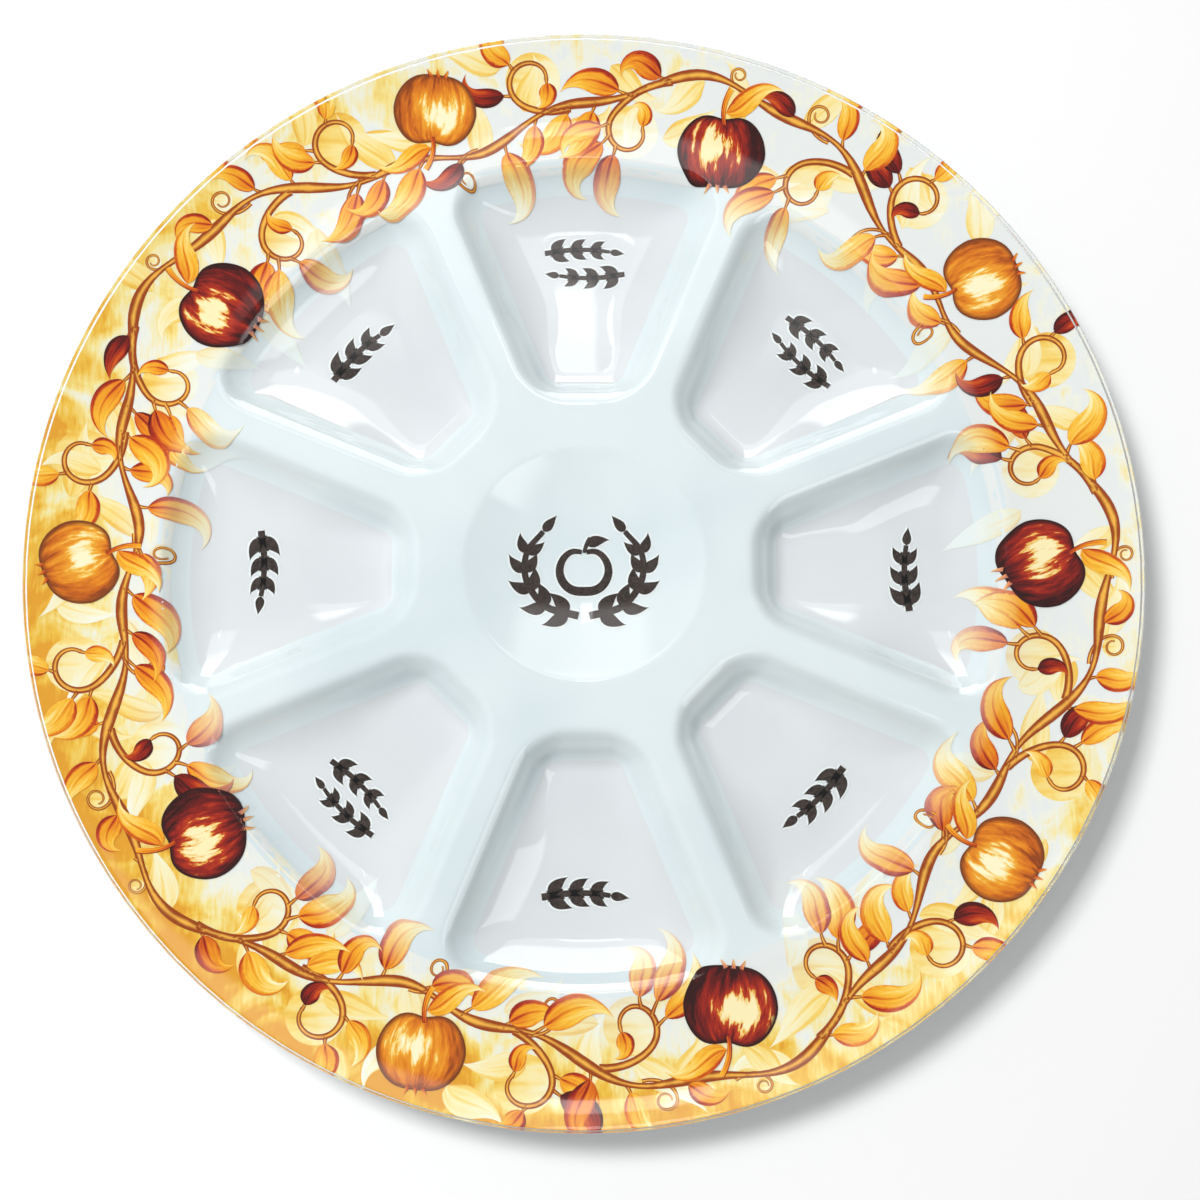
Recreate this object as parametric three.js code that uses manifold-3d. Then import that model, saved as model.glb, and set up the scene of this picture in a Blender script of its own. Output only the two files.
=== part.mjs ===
// A round glass plate for the foods of the new year meal. Eight tapered wells stand round a shallow
// recess. The print and the white coat lie under the clear glass, and soft bumpers carry the plate.

import * as THREE from "three";
import { mergeVertices } from "three/addons/utils/BufferGeometryUtils.js";
import Module from "manifold-3d";

// Driving sizes in millimetres, from the middle of the plate outwards
const recessRadius = 43.5;
const recessDepth = 6;
const hubWidth = 15.8;
const shoulderWidth = 10;
const wellLength = 75.2;
const webMargin = 1.5;
const rimWidth = 41.25;
const rimRise = 8;
const glassThickness = 4;

// Wells: a tight shoulder drops to the crease line, where the grey floor starts, and the wall runs
// out in a wide bowl inside it
const wellCount = 8;
const ridgeWidth = 7.6;
const wellDepth = 13;
const shoulderRadius = 7;
const outerCornerRadius = 8;
const innerCornerRadius = 3.6;
const outerFloorRadius = 8;
const innerFloorRadius = 4.2;
const innerFloorGap = 0.3;

// Layers under the glass
const glueGap = 0.1;
const transferThickness = 0.2;
const backingThickness = 0.4;
const backingEdgeMargin = 1.2;
const borderEdgeMargin = 0.8;
const centreTransferMargin = 15.5;
const wellTransferMargin = 1.5;
const wellTransferHeight = 18;

// Self-adhesive bumpers under every second well
const footEvery = 2;
const footInset = 32.5;
const footRadius = 5.5;
const footTreadRadius = 4;
const footHeight = 2.5;

// How finely round shapes are divided
const lathe = { segments: 64, recessSteps: 3, rimSteps: 4, edgeSteps: 3, transferSteps: 2 };
const loop = { outerCorner: 3, innerCorner: 3, outerArc: 6, shoulder: 3, bowl: 4 };
const footSides = 20;
const footSteps = 2;
const ovalPoints = 10;
const cutterReach = 1;
const axisTolerance = 1e-6;

// Derived sizes. Heights are measured from the top of the flat web.
const wellInner = recessRadius + hubWidth + shoulderWidth;
const wellOuter = wellInner + wellLength;
const rimStart = wellOuter + shoulderWidth + webMargin;
const halfSpoke = ridgeWidth / 2 + shoulderWidth;
const flatLead = shoulderWidth;
const halfWellAngle = Math.PI / wellCount;
const narrowEndRoom = (wellInner * Math.sin(halfWellAngle) - halfSpoke) / (1 - Math.sin(halfWellAngle));
const bowlReach = narrowEndRoom - innerFloorRadius - innerFloorGap;
const wallSpan = shoulderWidth + bowlReach;
const wallSlope = 2 * Math.atan(wellDepth / wallSpan);
const bowlRadius = wallSpan / Math.sin(wallSlope) - shoulderRadius;
const filmSpace = transferThickness + 2 * glueGap;
const backingTop = glassThickness + filmSpace;
const backingBottom = backingTop + backingThickness;
const transferTop = glassThickness + glueGap;
const transferBottom = transferTop + transferThickness;
const centreTransferRadius = recessRadius - centreTransferMargin;
const wellTransferCentre = wellOuter - bowlReach - wellTransferMargin - wellTransferHeight / 2;
const floorSide = (wellTransferCentre * Math.sin(halfWellAngle) - halfSpoke - bowlReach) / Math.cos(halfWellAngle);
const wellTransferHalfWidth = floorSide - wellTransferMargin;
const footCentre = wellOuter - footInset;
const footSeat = -(wellDepth + backingBottom);
const standHeight = footHeight - footSeat;

const wasm = await Module();
wasm.setup();

function point(x, y) {
  return new THREE.Vector2(x, y);
}

function arcPoints(centre, radius, fromAngle, toAngle, steps) {
  const arc = new THREE.ArcCurve(centre.x, centre.y, radius, fromAngle, toAngle, toAngle < fromAngle);
  return arc.getPoints(steps);
}

function isOnAxis(vertex) {
  return Math.abs(vertex.x) < axisTolerance;
}

// The line moved to its right by a distance, with each corner mitred. A line that starts on the
// axis goes on as its mirror image there.
function offsetLine(line, distance) {
  const normals = line.slice(1).map((end, i) => {
    const along = end.clone().sub(line[i]).normalize();
    return point(along.y, -along.x);
  });
  const beforeFirst = isOnAxis(line[0]) ? point(-normals[0].x, normals[0].y) : normals[0];
  return line.map((vertex, i) => {
    const before = normals[i - 1] ?? beforeFirst;
    const after = normals[Math.min(i, normals.length - 1)];
    const middle = before.clone().add(after).normalize();
    return vertex.clone().addScaledVector(middle, distance / middle.dot(after));
  });
}

// Half section of the plate's top: recess, flat web and rim, from the axis outwards
function recessLine(toRadius, steps) {
  const sphere = (recessRadius ** 2 + recessDepth ** 2) / (2 * recessDepth);
  const centre = point(0, sphere - recessDepth);
  const endAngle = Math.asin(toRadius / sphere) - Math.PI / 2;
  return arcPoints(centre, sphere, -Math.PI / 2, endAngle, steps);
}

function rimLine(width, steps) {
  const curve = (rimWidth ** 2 + rimRise ** 2) / (2 * rimRise);
  const endAngle = Math.asin(width / curve) - Math.PI / 2;
  return arcPoints(point(rimStart, curve), curve, -Math.PI / 2, endAngle, steps);
}

function dishLine(rimEnd) {
  return [...recessLine(recessRadius, lathe.recessSteps), ...rimLine(rimEnd, lathe.rimSteps)];
}

// The layer between two depths under a line, as a closed half section
function layerSection(line, top, bottom) {
  const section = [...offsetLine(line, top), ...offsetLine(line, bottom).reverse()];
  return isOnAxis(section[0]) ? section.map(snapToAxis) : [...section, section[0].clone()];
}

function snapToAxis(vertex) {
  return isOnAxis(vertex) ? point(0, vertex.y) : vertex;
}

// A solid of revolution from a half section that runs outwards along its top and back below
function turned(section, segments) {
  const geometry = new THREE.LatheGeometry([...section].reverse(), segments);
  return geometry.rotateX(Math.PI / 2);
}

// The rounded edge of the glass, between the ends of its top and bottom lines
function roundedEdge(line) {
  const topEnd = line.at(-1);
  const bottomEnd = offsetLine(line, glassThickness).at(-1);
  const centre = topEnd.clone().add(bottomEnd).multiplyScalar(0.5);
  const upwards = topEnd.clone().sub(centre).angle();
  const round = arcPoints(centre, glassThickness / 2, upwards, upwards - Math.PI, lathe.edgeSteps);
  return round.slice(1, -1);
}

function glassSection() {
  const line = dishLine(rimWidth);
  const under = offsetLine(line, glassThickness).reverse();
  return [...line, ...roundedEdge(line), ...under].map(snapToAxis);
}

// Section of a well's wall, moved down by a depth: how far inside the crease line, and how high.
// The shoulder's arc and the bowl's meet where the wall is steepest. A stretch of the flat web and
// one of the floor stand at its ends while it is moved.
function wallLine(depth) {
  const shoulderCentre = point(-shoulderWidth, -shoulderRadius);
  const bowlCentre = point(bowlReach, bowlRadius - wellDepth);
  const steepest = -Math.PI / 2 - wallSlope;
  const line = [
    point(-shoulderWidth - flatLead, 0),
    ...arcPoints(shoulderCentre, shoulderRadius, Math.PI / 2, Math.PI / 2 - wallSlope, loop.shoulder),
    ...arcPoints(bowlCentre, bowlRadius, steepest, -Math.PI / 2, loop.bowl).slice(1),
    point(bowlReach + flatLead, -wellDepth),
  ];
  return offsetLine(line, depth).slice(1, -1);
}

function cornerRadius(atCrease, atFloor, inset) {
  return inset < 0 ? atCrease - inset : Math.max(atCrease - inset, atFloor);
}

// A well's outline, drawn in by an inset from the crease line. The well lies along +X.
function wellLoop(inset) {
  const sideOffset = halfSpoke + inset;
  const along = point(Math.cos(halfWellAngle), Math.sin(halfWellAngle));
  const inwards = point(along.y, -along.x);
  const sideAngle = Math.PI / 2 + halfWellAngle;

  const innerRound = cornerRadius(innerCornerRadius, innerFloorRadius, inset);
  const innerX = wellInner + inset + innerRound;
  const innerRun = (innerX - (sideOffset + innerRound) * inwards.x) / along.x;
  const innerCentre = along.clone().multiplyScalar(innerRun);
  innerCentre.addScaledVector(inwards, sideOffset + innerRound);

  const outerRound = cornerRadius(outerCornerRadius, outerFloorRadius, inset);
  const outerRun = Math.sqrt((wellOuter - inset - outerRound) ** 2 - (sideOffset + outerRound) ** 2);
  const outerCentre = along.clone().multiplyScalar(outerRun);
  outerCentre.addScaledVector(inwards, sideOffset + outerRound);
  const outerAngle = outerCentre.angle();

  const halfLoop = [
    ...arcPoints(innerCentre, innerRound, Math.PI, sideAngle, loop.innerCorner),
    ...arcPoints(outerCentre, outerRound, sideAngle, outerAngle, loop.outerCorner),
  ];
  const outerArc = arcPoints(point(0, 0), wellOuter - inset, outerAngle, -outerAngle, loop.outerArc);
  const mirrored = halfLoop.map((vertex) => point(vertex.x, -vertex.y)).reverse();
  return [...halfLoop, ...outerArc.slice(1, -1), ...mirrored].reverse();
}

// A closed solid through flat rings of equal count, the first at the top
function loft(rings) {
  const count = rings[0].outline.length;
  const positions = rings.flatMap(({ outline, height }) => outline.flatMap(({ x, y }) => [x, y, height]));
  const indices = [];
  for (let ring = 0; ring < rings.length - 1; ring++) {
    for (let i = 0; i < count; i++) {
      const [a, b] = [ring * count + i, ring * count + ((i + 1) % count)];
      indices.push(a, a + count, b + count, a, b + count, b);
    }
  }
  const last = (rings.length - 1) * count;
  for (const [a, b, c] of THREE.ShapeUtils.triangulateShape(rings[0].outline, [])) {
    indices.push(a, b, c);
  }
  for (const [a, b, c] of THREE.ShapeUtils.triangulateShape(rings.at(-1).outline, [])) {
    indices.push(last + a, last + c, last + b);
  }
  const geometry = new THREE.BufferGeometry();
  geometry.setAttribute("position", new THREE.Float32BufferAttribute(positions, 3));
  geometry.setIndex(indices);
  return geometry;
}

// The space inside a well, down to a depth under its top surface, with a straight neck above it
function wellBody(depth, neck) {
  const rings = wallLine(depth).map(({ x, y }) => ({ outline: wellLoop(x), height: y }));
  const crest = { outline: rings[0].outline, height: rings[0].height + neck };
  return loft([crest, ...rings]);
}

function toSolid(geometry) {
  const plain = geometry.clone();
  plain.deleteAttribute("normal");
  plain.deleteAttribute("uv");
  const merged = mergeVertices(plain);
  const index = Array.from(merged.index.array);
  const kept = [];
  for (let i = 0; i < index.length; i += 3) {
    const [a, b, c] = index.slice(i, i + 3);
    if (a !== b && b !== c && c !== a) {
      kept.push(a, b, c);
    }
  }
  const mesh = new wasm.Mesh({
    numProp: 3,
    vertProperties: new Float32Array(merged.attributes.position.array),
    triVerts: new Uint32Array(kept),
  });
  return new wasm.Manifold(mesh);
}

function toGeometry(solid) {
  const mesh = solid.getMesh();
  const geometry = new THREE.BufferGeometry();
  geometry.setAttribute("position", new THREE.BufferAttribute(mesh.vertProperties, 3));
  geometry.setIndex(new THREE.BufferAttribute(mesh.triVerts, 1));
  return geometry;
}

// A dished layer with the wells pressed into it, between two depths under the top surface
function dishedLayer(section, top, bottom) {
  const neck = (bottom - top) / 2;
  let solid = toSolid(turned(section, lathe.segments));
  const outside = wellBody(bottom, neck);
  const inside = wellBody(top, cutterReach);
  for (let well = 0; well < wellCount; well++) {
    const turn = 2 * halfWellAngle * well;
    solid = solid.add(toSolid(outside.clone().rotateZ(turn)));
    solid = solid.subtract(toSolid(inside.clone().rotateZ(turn)));
  }
  return toGeometry(solid);
}

function wellTransfer() {
  const oval = new THREE.Shape();
  oval.absellipse(0, 0, wellTransferHeight / 2, wellTransferHalfWidth, 0, 2 * Math.PI);
  return new THREE.ExtrudeGeometry(oval, {
    depth: transferThickness,
    bevelEnabled: false,
    curveSegments: ovalPoints,
  });
}

function foot() {
  const spread = footRadius - footTreadRadius;
  const dome = new THREE.EllipseCurve(footTreadRadius, 0, spread, footHeight, 0, -Math.PI / 2, true);
  return turned([point(0, 0), ...dome.getPoints(footSteps), point(0, -footHeight)], footSides);
}

const finishes = {
  glass: { color: 0xe4f1ef, roughness: 0.04, metalness: 0, transparent: true, opacity: 0.35 },
  coat: { color: 0xe3eded, roughness: 0.35, metalness: 0 },
  border: { color: 0xe09a35, roughness: 0.4, metalness: 0 },
  motif: { color: 0x4a403c, roughness: 0.4, metalness: 0 },
  bumper: { color: 0xd9dfe0, roughness: 0.3, metalness: 0 },
};

const plate = new THREE.Group();
plate.position.z = standHeight;

function addPiece(holder, name, geometry, finish) {
  const mesh = new THREE.Mesh(geometry, new THREE.MeshStandardMaterial(finishes[finish]));
  mesh.name = name;
  holder.add(mesh);
  return mesh;
}

addPiece(plate, "glass_plate", dishedLayer(glassSection(), 0, glassThickness), "glass");

const backingSection = layerSection(dishLine(rimWidth - backingEdgeMargin), backingTop, backingBottom);
addPiece(plate, "white_backing", dishedLayer(backingSection, backingTop, backingBottom), "coat");

const borderLine = rimLine(rimWidth - borderEdgeMargin, lathe.rimSteps);
const borderSection = layerSection(borderLine, transferTop, transferBottom);
addPiece(plate, "border_transfer", turned(borderSection, lathe.segments), "border");

const centreLine = recessLine(centreTransferRadius, lathe.transferSteps);
const centreSection = layerSection(centreLine, transferTop, transferBottom);
addPiece(plate, "centre_transfer", turned(centreSection, lathe.segments / 2), "motif");

for (let well = 0; well < wellCount; well++) {
  const holder = new THREE.Group();
  holder.rotation.z = 2 * halfWellAngle * well;
  plate.add(holder);
  const transfer = addPiece(holder, `well_transfer_${well + 1}`, wellTransfer(), "motif");
  transfer.position.set(wellTransferCentre, 0, -(wellDepth + transferBottom));
  if (well % footEvery === 1) {
    const bumper = addPiece(holder, `bumper_foot_${(well + 1) / footEvery}`, foot(), "bumper");
    bumper.position.set(footCentre, 0, footSeat);
  }
}

export default plate;
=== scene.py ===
"""Looks of a clear glass holiday plate: glass, fired coat, painted border, ink motifs and bumpers."""

import logging
import math
from collections.abc import Callable
from dataclasses import dataclass, field, replace
from enum import Enum
from functools import cached_property, lru_cache

import bmesh
import bpy
import numpy as np
from bmesh.types import BMesh, BMVert
from bpy.types import ID, AreaLight, Material, Mesh, Node, NodeSocket, NodeTree, Object
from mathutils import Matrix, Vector


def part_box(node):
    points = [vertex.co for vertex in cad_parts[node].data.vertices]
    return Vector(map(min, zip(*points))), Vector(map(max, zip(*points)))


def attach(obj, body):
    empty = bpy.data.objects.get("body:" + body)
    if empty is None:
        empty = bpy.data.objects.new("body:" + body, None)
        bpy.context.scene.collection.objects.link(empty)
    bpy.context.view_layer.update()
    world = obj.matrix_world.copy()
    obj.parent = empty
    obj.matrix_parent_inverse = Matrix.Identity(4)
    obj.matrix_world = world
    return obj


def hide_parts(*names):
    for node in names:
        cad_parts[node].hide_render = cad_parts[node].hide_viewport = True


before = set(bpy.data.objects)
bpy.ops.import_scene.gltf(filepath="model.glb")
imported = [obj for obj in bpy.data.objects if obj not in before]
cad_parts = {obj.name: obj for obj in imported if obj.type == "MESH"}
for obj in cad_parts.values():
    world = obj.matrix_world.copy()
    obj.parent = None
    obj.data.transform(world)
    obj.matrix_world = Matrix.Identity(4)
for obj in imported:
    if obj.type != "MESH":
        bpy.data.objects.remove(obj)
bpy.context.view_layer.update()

LOG = logging.getLogger("plate")
MM = 0.001
BODY = "root"
WHITE = "#FFFFFF"

# A leaf blade has more strips across than a stalk, so that it follows the curved glass
LEAF_STRIPS = 6

# Steps of the golden share of one fall evenly and never repeat
GOLDEN_SHARE = 0.618034

# Enamel that is fused to glass has no gloss of its own, only a matt colour
FIRED_ROUGHNESS = 0.6

Line = np.ndarray
Pair = tuple[float, float]
Triple = tuple[float, float, float]
Place = Callable[[np.ndarray], np.ndarray]
Stops = tuple[tuple[float, str], ...]
Source = Node | NodeSocket


# Materials


def linear(code: str) -> tuple[float, float, float, float]:
    """Turn an sRGB hex colour into linear light.

    Args:
        code: Colour such as "#E3EDED".

    Returns:
        Red, green, blue and full opacity, for a shader socket.
    """
    shares = [int(code[i : i + 2], 16) / 255 for i in (1, 3, 5)]
    light = [s / 12.92 if s <= 0.04045 else ((s + 0.055) / 1.055) ** 2.4 for s in shares]
    return (*light, 1.0)


def add_node(
    tree: NodeTree,
    kind: str,
    inputs: dict[str | int, object] | None = None,
    stops: Stops = (),
    **settings: object,
) -> Node:
    """Add a shader node with its settings, values and links.

    Args:
        tree: Node tree of the material, lamp or world.
        kind: Node type without its prefix, such as "Mix".
        inputs: Values, source sockets, or nodes for their first output, by input name or number.
        stops: Places and colours of a colour ramp.
        settings: Properties of the node itself.

    Returns:
        The new node.
    """
    node = tree.nodes.new(f"ShaderNode{kind}")
    for name, value in settings.items():
        setattr(node, name, value)
    for name, value in (inputs or {}).items():
        source = value.outputs[0] if isinstance(value, Node) else value
        if isinstance(source, NodeSocket):
            tree.links.new(source, node.inputs[name])
        else:
            node.inputs[name].default_value = source
    if stops:
        ramp = node.color_ramp.elements
        while len(ramp) < len(stops):
            ramp.new(1.0)
        for element, (place, code) in zip(ramp, stops):
            element.position = place
            element.color = linear(code)
    return node


def spans(given: Pair, wanted: Pair = (0.0, 1.0)) -> dict[str, float]:
    """Name the ends of a change from one range of numbers to another."""
    return dict(zip(("From Min", "From Max", "To Min", "To Max"), (*given, *wanted)))


def grain(tree: NodeTree, size_mm: float, detail: float) -> dict[str, object]:
    """Lay a pattern of a real grain size on the piece itself.

    Args:
        tree: Tree that takes the pattern.
        size_mm: Size of one grain.
        detail: Number of finer layers.

    Returns:
        The inputs of the pattern.
    """
    place = add_node(tree, "TexCoord")
    return {"Vector": place.outputs["Object"], "Scale": 1 / (size_mm * MM), "Detail": detail}


def weighed_sum(tree: NodeTree, first: Source, *parts: tuple[Source, float]) -> Node:
    """Add up the marks that make a colour.

    Args:
        tree: Tree that takes the sum.
        first: What the sum starts from.
        parts: Each further mark, and its weight.

    Returns:
        The sum.
    """
    total = first
    for part, weight in parts:
        inputs = {0: part, 1: weight, 2: total}
        total = add_node(tree, "Math", inputs, operation="MULTIPLY_ADD")
    return total


def plan_spot(tree: NodeTree) -> Node:
    """Find the spot on the plate's plan, with its height left out.

    Args:
        tree: Tree that reads the spot.

    Returns:
        The spot.
    """
    place = add_node(tree, "TexCoord")
    where = add_node(tree, "SeparateXYZ", {0: place.outputs["Object"]})
    return add_node(tree, "CombineXYZ", {"X": where.outputs["X"], "Y": where.outputs["Y"]})


def between_rings(tree: NodeTree, spot: Node, rings_mm: Pair, amounts: Pair) -> Node:
    """Let an amount change between two circles round the plate's middle.

    Args:
        tree: Tree that takes the amount.
        spot: Spot on the plan.
        rings_mm: Radii of the two circles.
        amounts: The amount at each of them.

    Returns:
        The amount.
    """
    radius = add_node(tree, "VectorMath", {0: spot}, operation="LENGTH")
    circles = (rings_mm[0] * MM, rings_mm[1] * MM)
    inputs = {"Value": radius.outputs["Value"], **spans(circles, amounts)}
    return add_node(tree, "MapRange", inputs)


def brush_place(tree: NodeTree) -> tuple[Node, Node, Node]:
    """Read where a spot lies in its brush stroke.

    Args:
        tree: Tree of the paint.

    Returns:
        The brush map, the place across from -1 to 1, and its distance from the middle.
    """
    brush = add_node(tree, "UVMap", uv_map="brush")
    spot = add_node(tree, "SeparateXYZ", {0: brush})
    centred = {0: spot.outputs["Y"], 1: 2.0, 2: -1.0}
    across = add_node(tree, "Math", centred, operation="MULTIPLY_ADD")
    return spot, across, add_node(tree, "Math", {0: across}, operation="ABSOLUTE")


def bristle_marks(
    tree: NodeTree, spot: tuple[Source, Source], stretch: Triple, detail: float, rough: float
) -> Node:
    """Draw the streaks of the brush's bristles, which differ from tone to tone.

    Args:
        tree: Tree of the paint.
        spot: Places in the brush map.
        stretch: Streaks in each direction of the map, and how far a tone moves them.
        detail: Number of finer layers.
        rough: Strength of those layers.

    Returns:
        The streaks.
    """
    tone = add_node(tree, "Attribute", attribute_name="tone")
    lane = {"X": spot[0], "Y": spot[1], "Z": tone.outputs["Fac"]}
    lane = add_node(tree, "CombineXYZ", lane)
    drawn = add_node(tree, "VectorMath", {0: lane, 1: stretch}, operation="MULTIPLY")
    look = {"Vector": drawn, "Scale": 1.0, "Detail": detail, "Roughness": rough}
    return add_node(tree, "TexNoise", look)


@dataclass(frozen=True)
class Finish:
    """What every finish has: the name of the real one, and a shader that its own class builds."""

    name: str

    def make(self) -> Material:
        """Build the material.

        Returns:
            A material that holds nothing but this finish.
        """
        material = bpy.data.materials.new(self.name)
        material.use_nodes = True
        tree = material.node_tree
        tree.nodes.clear()
        add_node(tree, "OutputMaterial", {"Surface": self.surface(tree)})
        return material

    def surface(self, tree: NodeTree) -> Node:
        """Build the shader, in each finish's own way."""
        raise NotImplementedError


@dataclass(frozen=True)
class ClearGlass(Finish):
    """Soda-lime float glass, slumped and tempered: a hard wet gloss, with the ripple of slumping."""

    name: str = "soda_lime_glass"
    tint: str = "#FAFCFC"
    refraction: float = 1.52
    roughness: float = 0.015
    ripple_mm: float = 35.0
    ripple_strength: float = 0.12
    ripple_height_mm: float = 0.4

    def surface(self, tree: NodeTree) -> Node:
        """Build the polished glass. Lamps and soft light pass it, so the print below stays bright.

        Args:
            tree: Tree of the material.

        Returns:
            The shader.
        """
        wave = add_node(tree, "TexNoise", grain(tree, self.ripple_mm, 1.0))
        ripple = {"Strength": self.ripple_strength, "Distance": self.ripple_height_mm * MM}
        look = {
            "Base Color": linear(self.tint),
            "Roughness": self.roughness,
            "IOR": self.refraction,
            "Transmission Weight": 1.0,
            "Normal": add_node(tree, "Bump", {"Height": wave, **ripple}),
        }
        glass = add_node(tree, "BsdfPrincipled", look)
        clear = add_node(tree, "BsdfTransparent", {"Color": linear(self.tint)})
        ray = add_node(tree, "LightPath").outputs
        soft = {0: ray["Is Shadow Ray"], 1: ray["Is Diffuse Ray"]}
        soft = add_node(tree, "Math", soft, operation="MAXIMUM")
        return add_node(tree, "MixShader", {0: soft, 1: glass, 2: clear})


@dataclass(frozen=True)
class FiredJoint(Finish):
    """Where enamel is fused to glass there is no air, so the face between them can't be seen."""

    name: str = "fused_glass_face"

    def surface(self, tree: NodeTree) -> Node:
        """Build a face that light passes straight through."""
        return add_node(tree, "BsdfTransparent", {"Color": linear(WHITE)})


@dataclass(frozen=True)
class CoatBack(Finish):
    """The open back of the fired enamel: satin, with the fine orange peel of a sprayed coat."""

    name: str = "enamel_back"
    light: str = "#E9EEEE"
    deep: str = "#DCE3E4"
    roughness: float = 0.34
    peel_mm: float = 1.2
    peel_strength: float = 0.25
    peel_height_mm: float = 0.05

    def surface(self, tree: NodeTree) -> Node:
        """Build the side that faces the table.

        Args:
            tree: Tree of the material.

        Returns:
            The shader.
        """
        peel = add_node(tree, "TexNoise", grain(tree, self.peel_mm, 2.0))
        bump = {"Strength": self.peel_strength, "Distance": self.peel_height_mm * MM}
        bump = add_node(tree, "Bump", {"Height": peel, **bump})
        colour = add_node(tree, "ValToRGB", {"Fac": peel}, ((0.2, self.deep), (0.8, self.light)))
        look = {"Base Color": colour, "Roughness": self.roughness, "Normal": bump}
        return add_node(tree, "BsdfPrincipled", look)


@dataclass(frozen=True)
class Silicone(Finish):
    """Clear moulded silicone: soft, slightly milky, with a dull skin that picks up fine dust."""

    name: str = "clear_silicone"
    milk: str = "#D9DFE1"
    dust: str = "#C9CFD1"
    dust_mm: float = 0.7
    roughness: float = 0.4
    refraction: float = 1.41
    clearness: float = 0.35

    def surface(self, tree: NodeTree) -> Node:
        """Build the silicone.

        Args:
            tree: Tree of the material.

        Returns:
            The shader.
        """
        dust = add_node(tree, "TexNoise", grain(tree, self.dust_mm, 3.0))
        look = {
            "Base Color": add_node(
                tree, "ValToRGB", {"Fac": dust}, ((0.45, self.milk), (0.75, self.dust))
            ),
            "Roughness": self.roughness,
            "IOR": self.refraction,
            "Transmission Weight": self.clearness,
        }
        return add_node(tree, "BsdfPrincipled", look)


@dataclass(frozen=True)
class MattTable(Finish):
    """Matt white paint of the table top, which is lifted a little where it is seen, to read white."""

    name: str = "matt_white_table"
    paint: str = "#F0F0F0"
    lift: float = 0.05

    def surface(self, tree: NodeTree) -> Node:
        """Build the paint.

        Args:
            tree: Tree of the material.

        Returns:
            The shader.
        """
        ray = add_node(tree, "LightPath").outputs
        seen = {0: ray["Is Camera Ray"], 1: ray["Is Transmission Ray"]}
        seen = add_node(tree, "Math", seen, operation="MAXIMUM")
        lift = add_node(tree, "Math", {0: seen, 1: self.lift}, operation="MULTIPLY")
        paint = add_node(tree, "BsdfDiffuse", {"Color": linear(self.paint)})
        glow = add_node(tree, "Emission", {"Color": linear(WHITE), "Strength": lift})
        return add_node(tree, "AddShader", {0: paint, 1: glow})


@dataclass(frozen=True)
class FusedEnamel(Finish):
    """Glass enamel seen through the glass that it is fired on. Each class builds its colour."""

    def surface(self, tree: NodeTree) -> Node:
        """Build the matt shader that takes the enamel's colour."""
        look = {"Roughness": FIRED_ROUGHNESS, "Specular IOR Level": 0.0}
        return add_node(tree, "BsdfPrincipled", {"Base Color": self.colour(tree), **look})

    def colour(self, tree: NodeTree) -> Source:
        """Build the colour, in each enamel's own way."""
        raise NotImplementedError


@dataclass(frozen=True)
class FiredCoat(FusedEnamel):
    """White enamel sprayed on the glass and fired: aqua on the flats, cooler grey down in the wells."""

    name: str = "fired_white_enamel"
    flat: Stops = ((0.35, "#D8E2E5"), (0.6, "#E1E9EB"))
    well: Stops = ((0.35, "#D8DADD"), (0.65, "#DFE1E3"))
    cloud_mm: float = 60.0
    crease_mm: float = 0.35

    def colour(self, tree: NodeTree) -> Source:
        """Build the side seen through the glass. Its edge in each well follows the crease.

        Args:
            tree: Tree of the material.

        Returns:
            The colour.
        """
        cloud = add_node(tree, "TexNoise", grain(tree, self.cloud_mm, 2.0))
        flats = add_node(tree, "ValToRGB", {"Fac": cloud}, self.flat)
        wells = add_node(tree, "ValToRGB", {"Fac": cloud}, self.well)
        inset = add_node(tree, "Attribute", attribute_name="inset").outputs["Fac"]
        crease = spans((-self.crease_mm, self.crease_mm))
        inside = add_node(tree, "MapRange", {"Value": inset, **crease})
        mixed = {0: inside, 6: flats, 7: wells}
        return add_node(tree, "Mix", mixed, data_type="RGBA").outputs[2]


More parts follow.
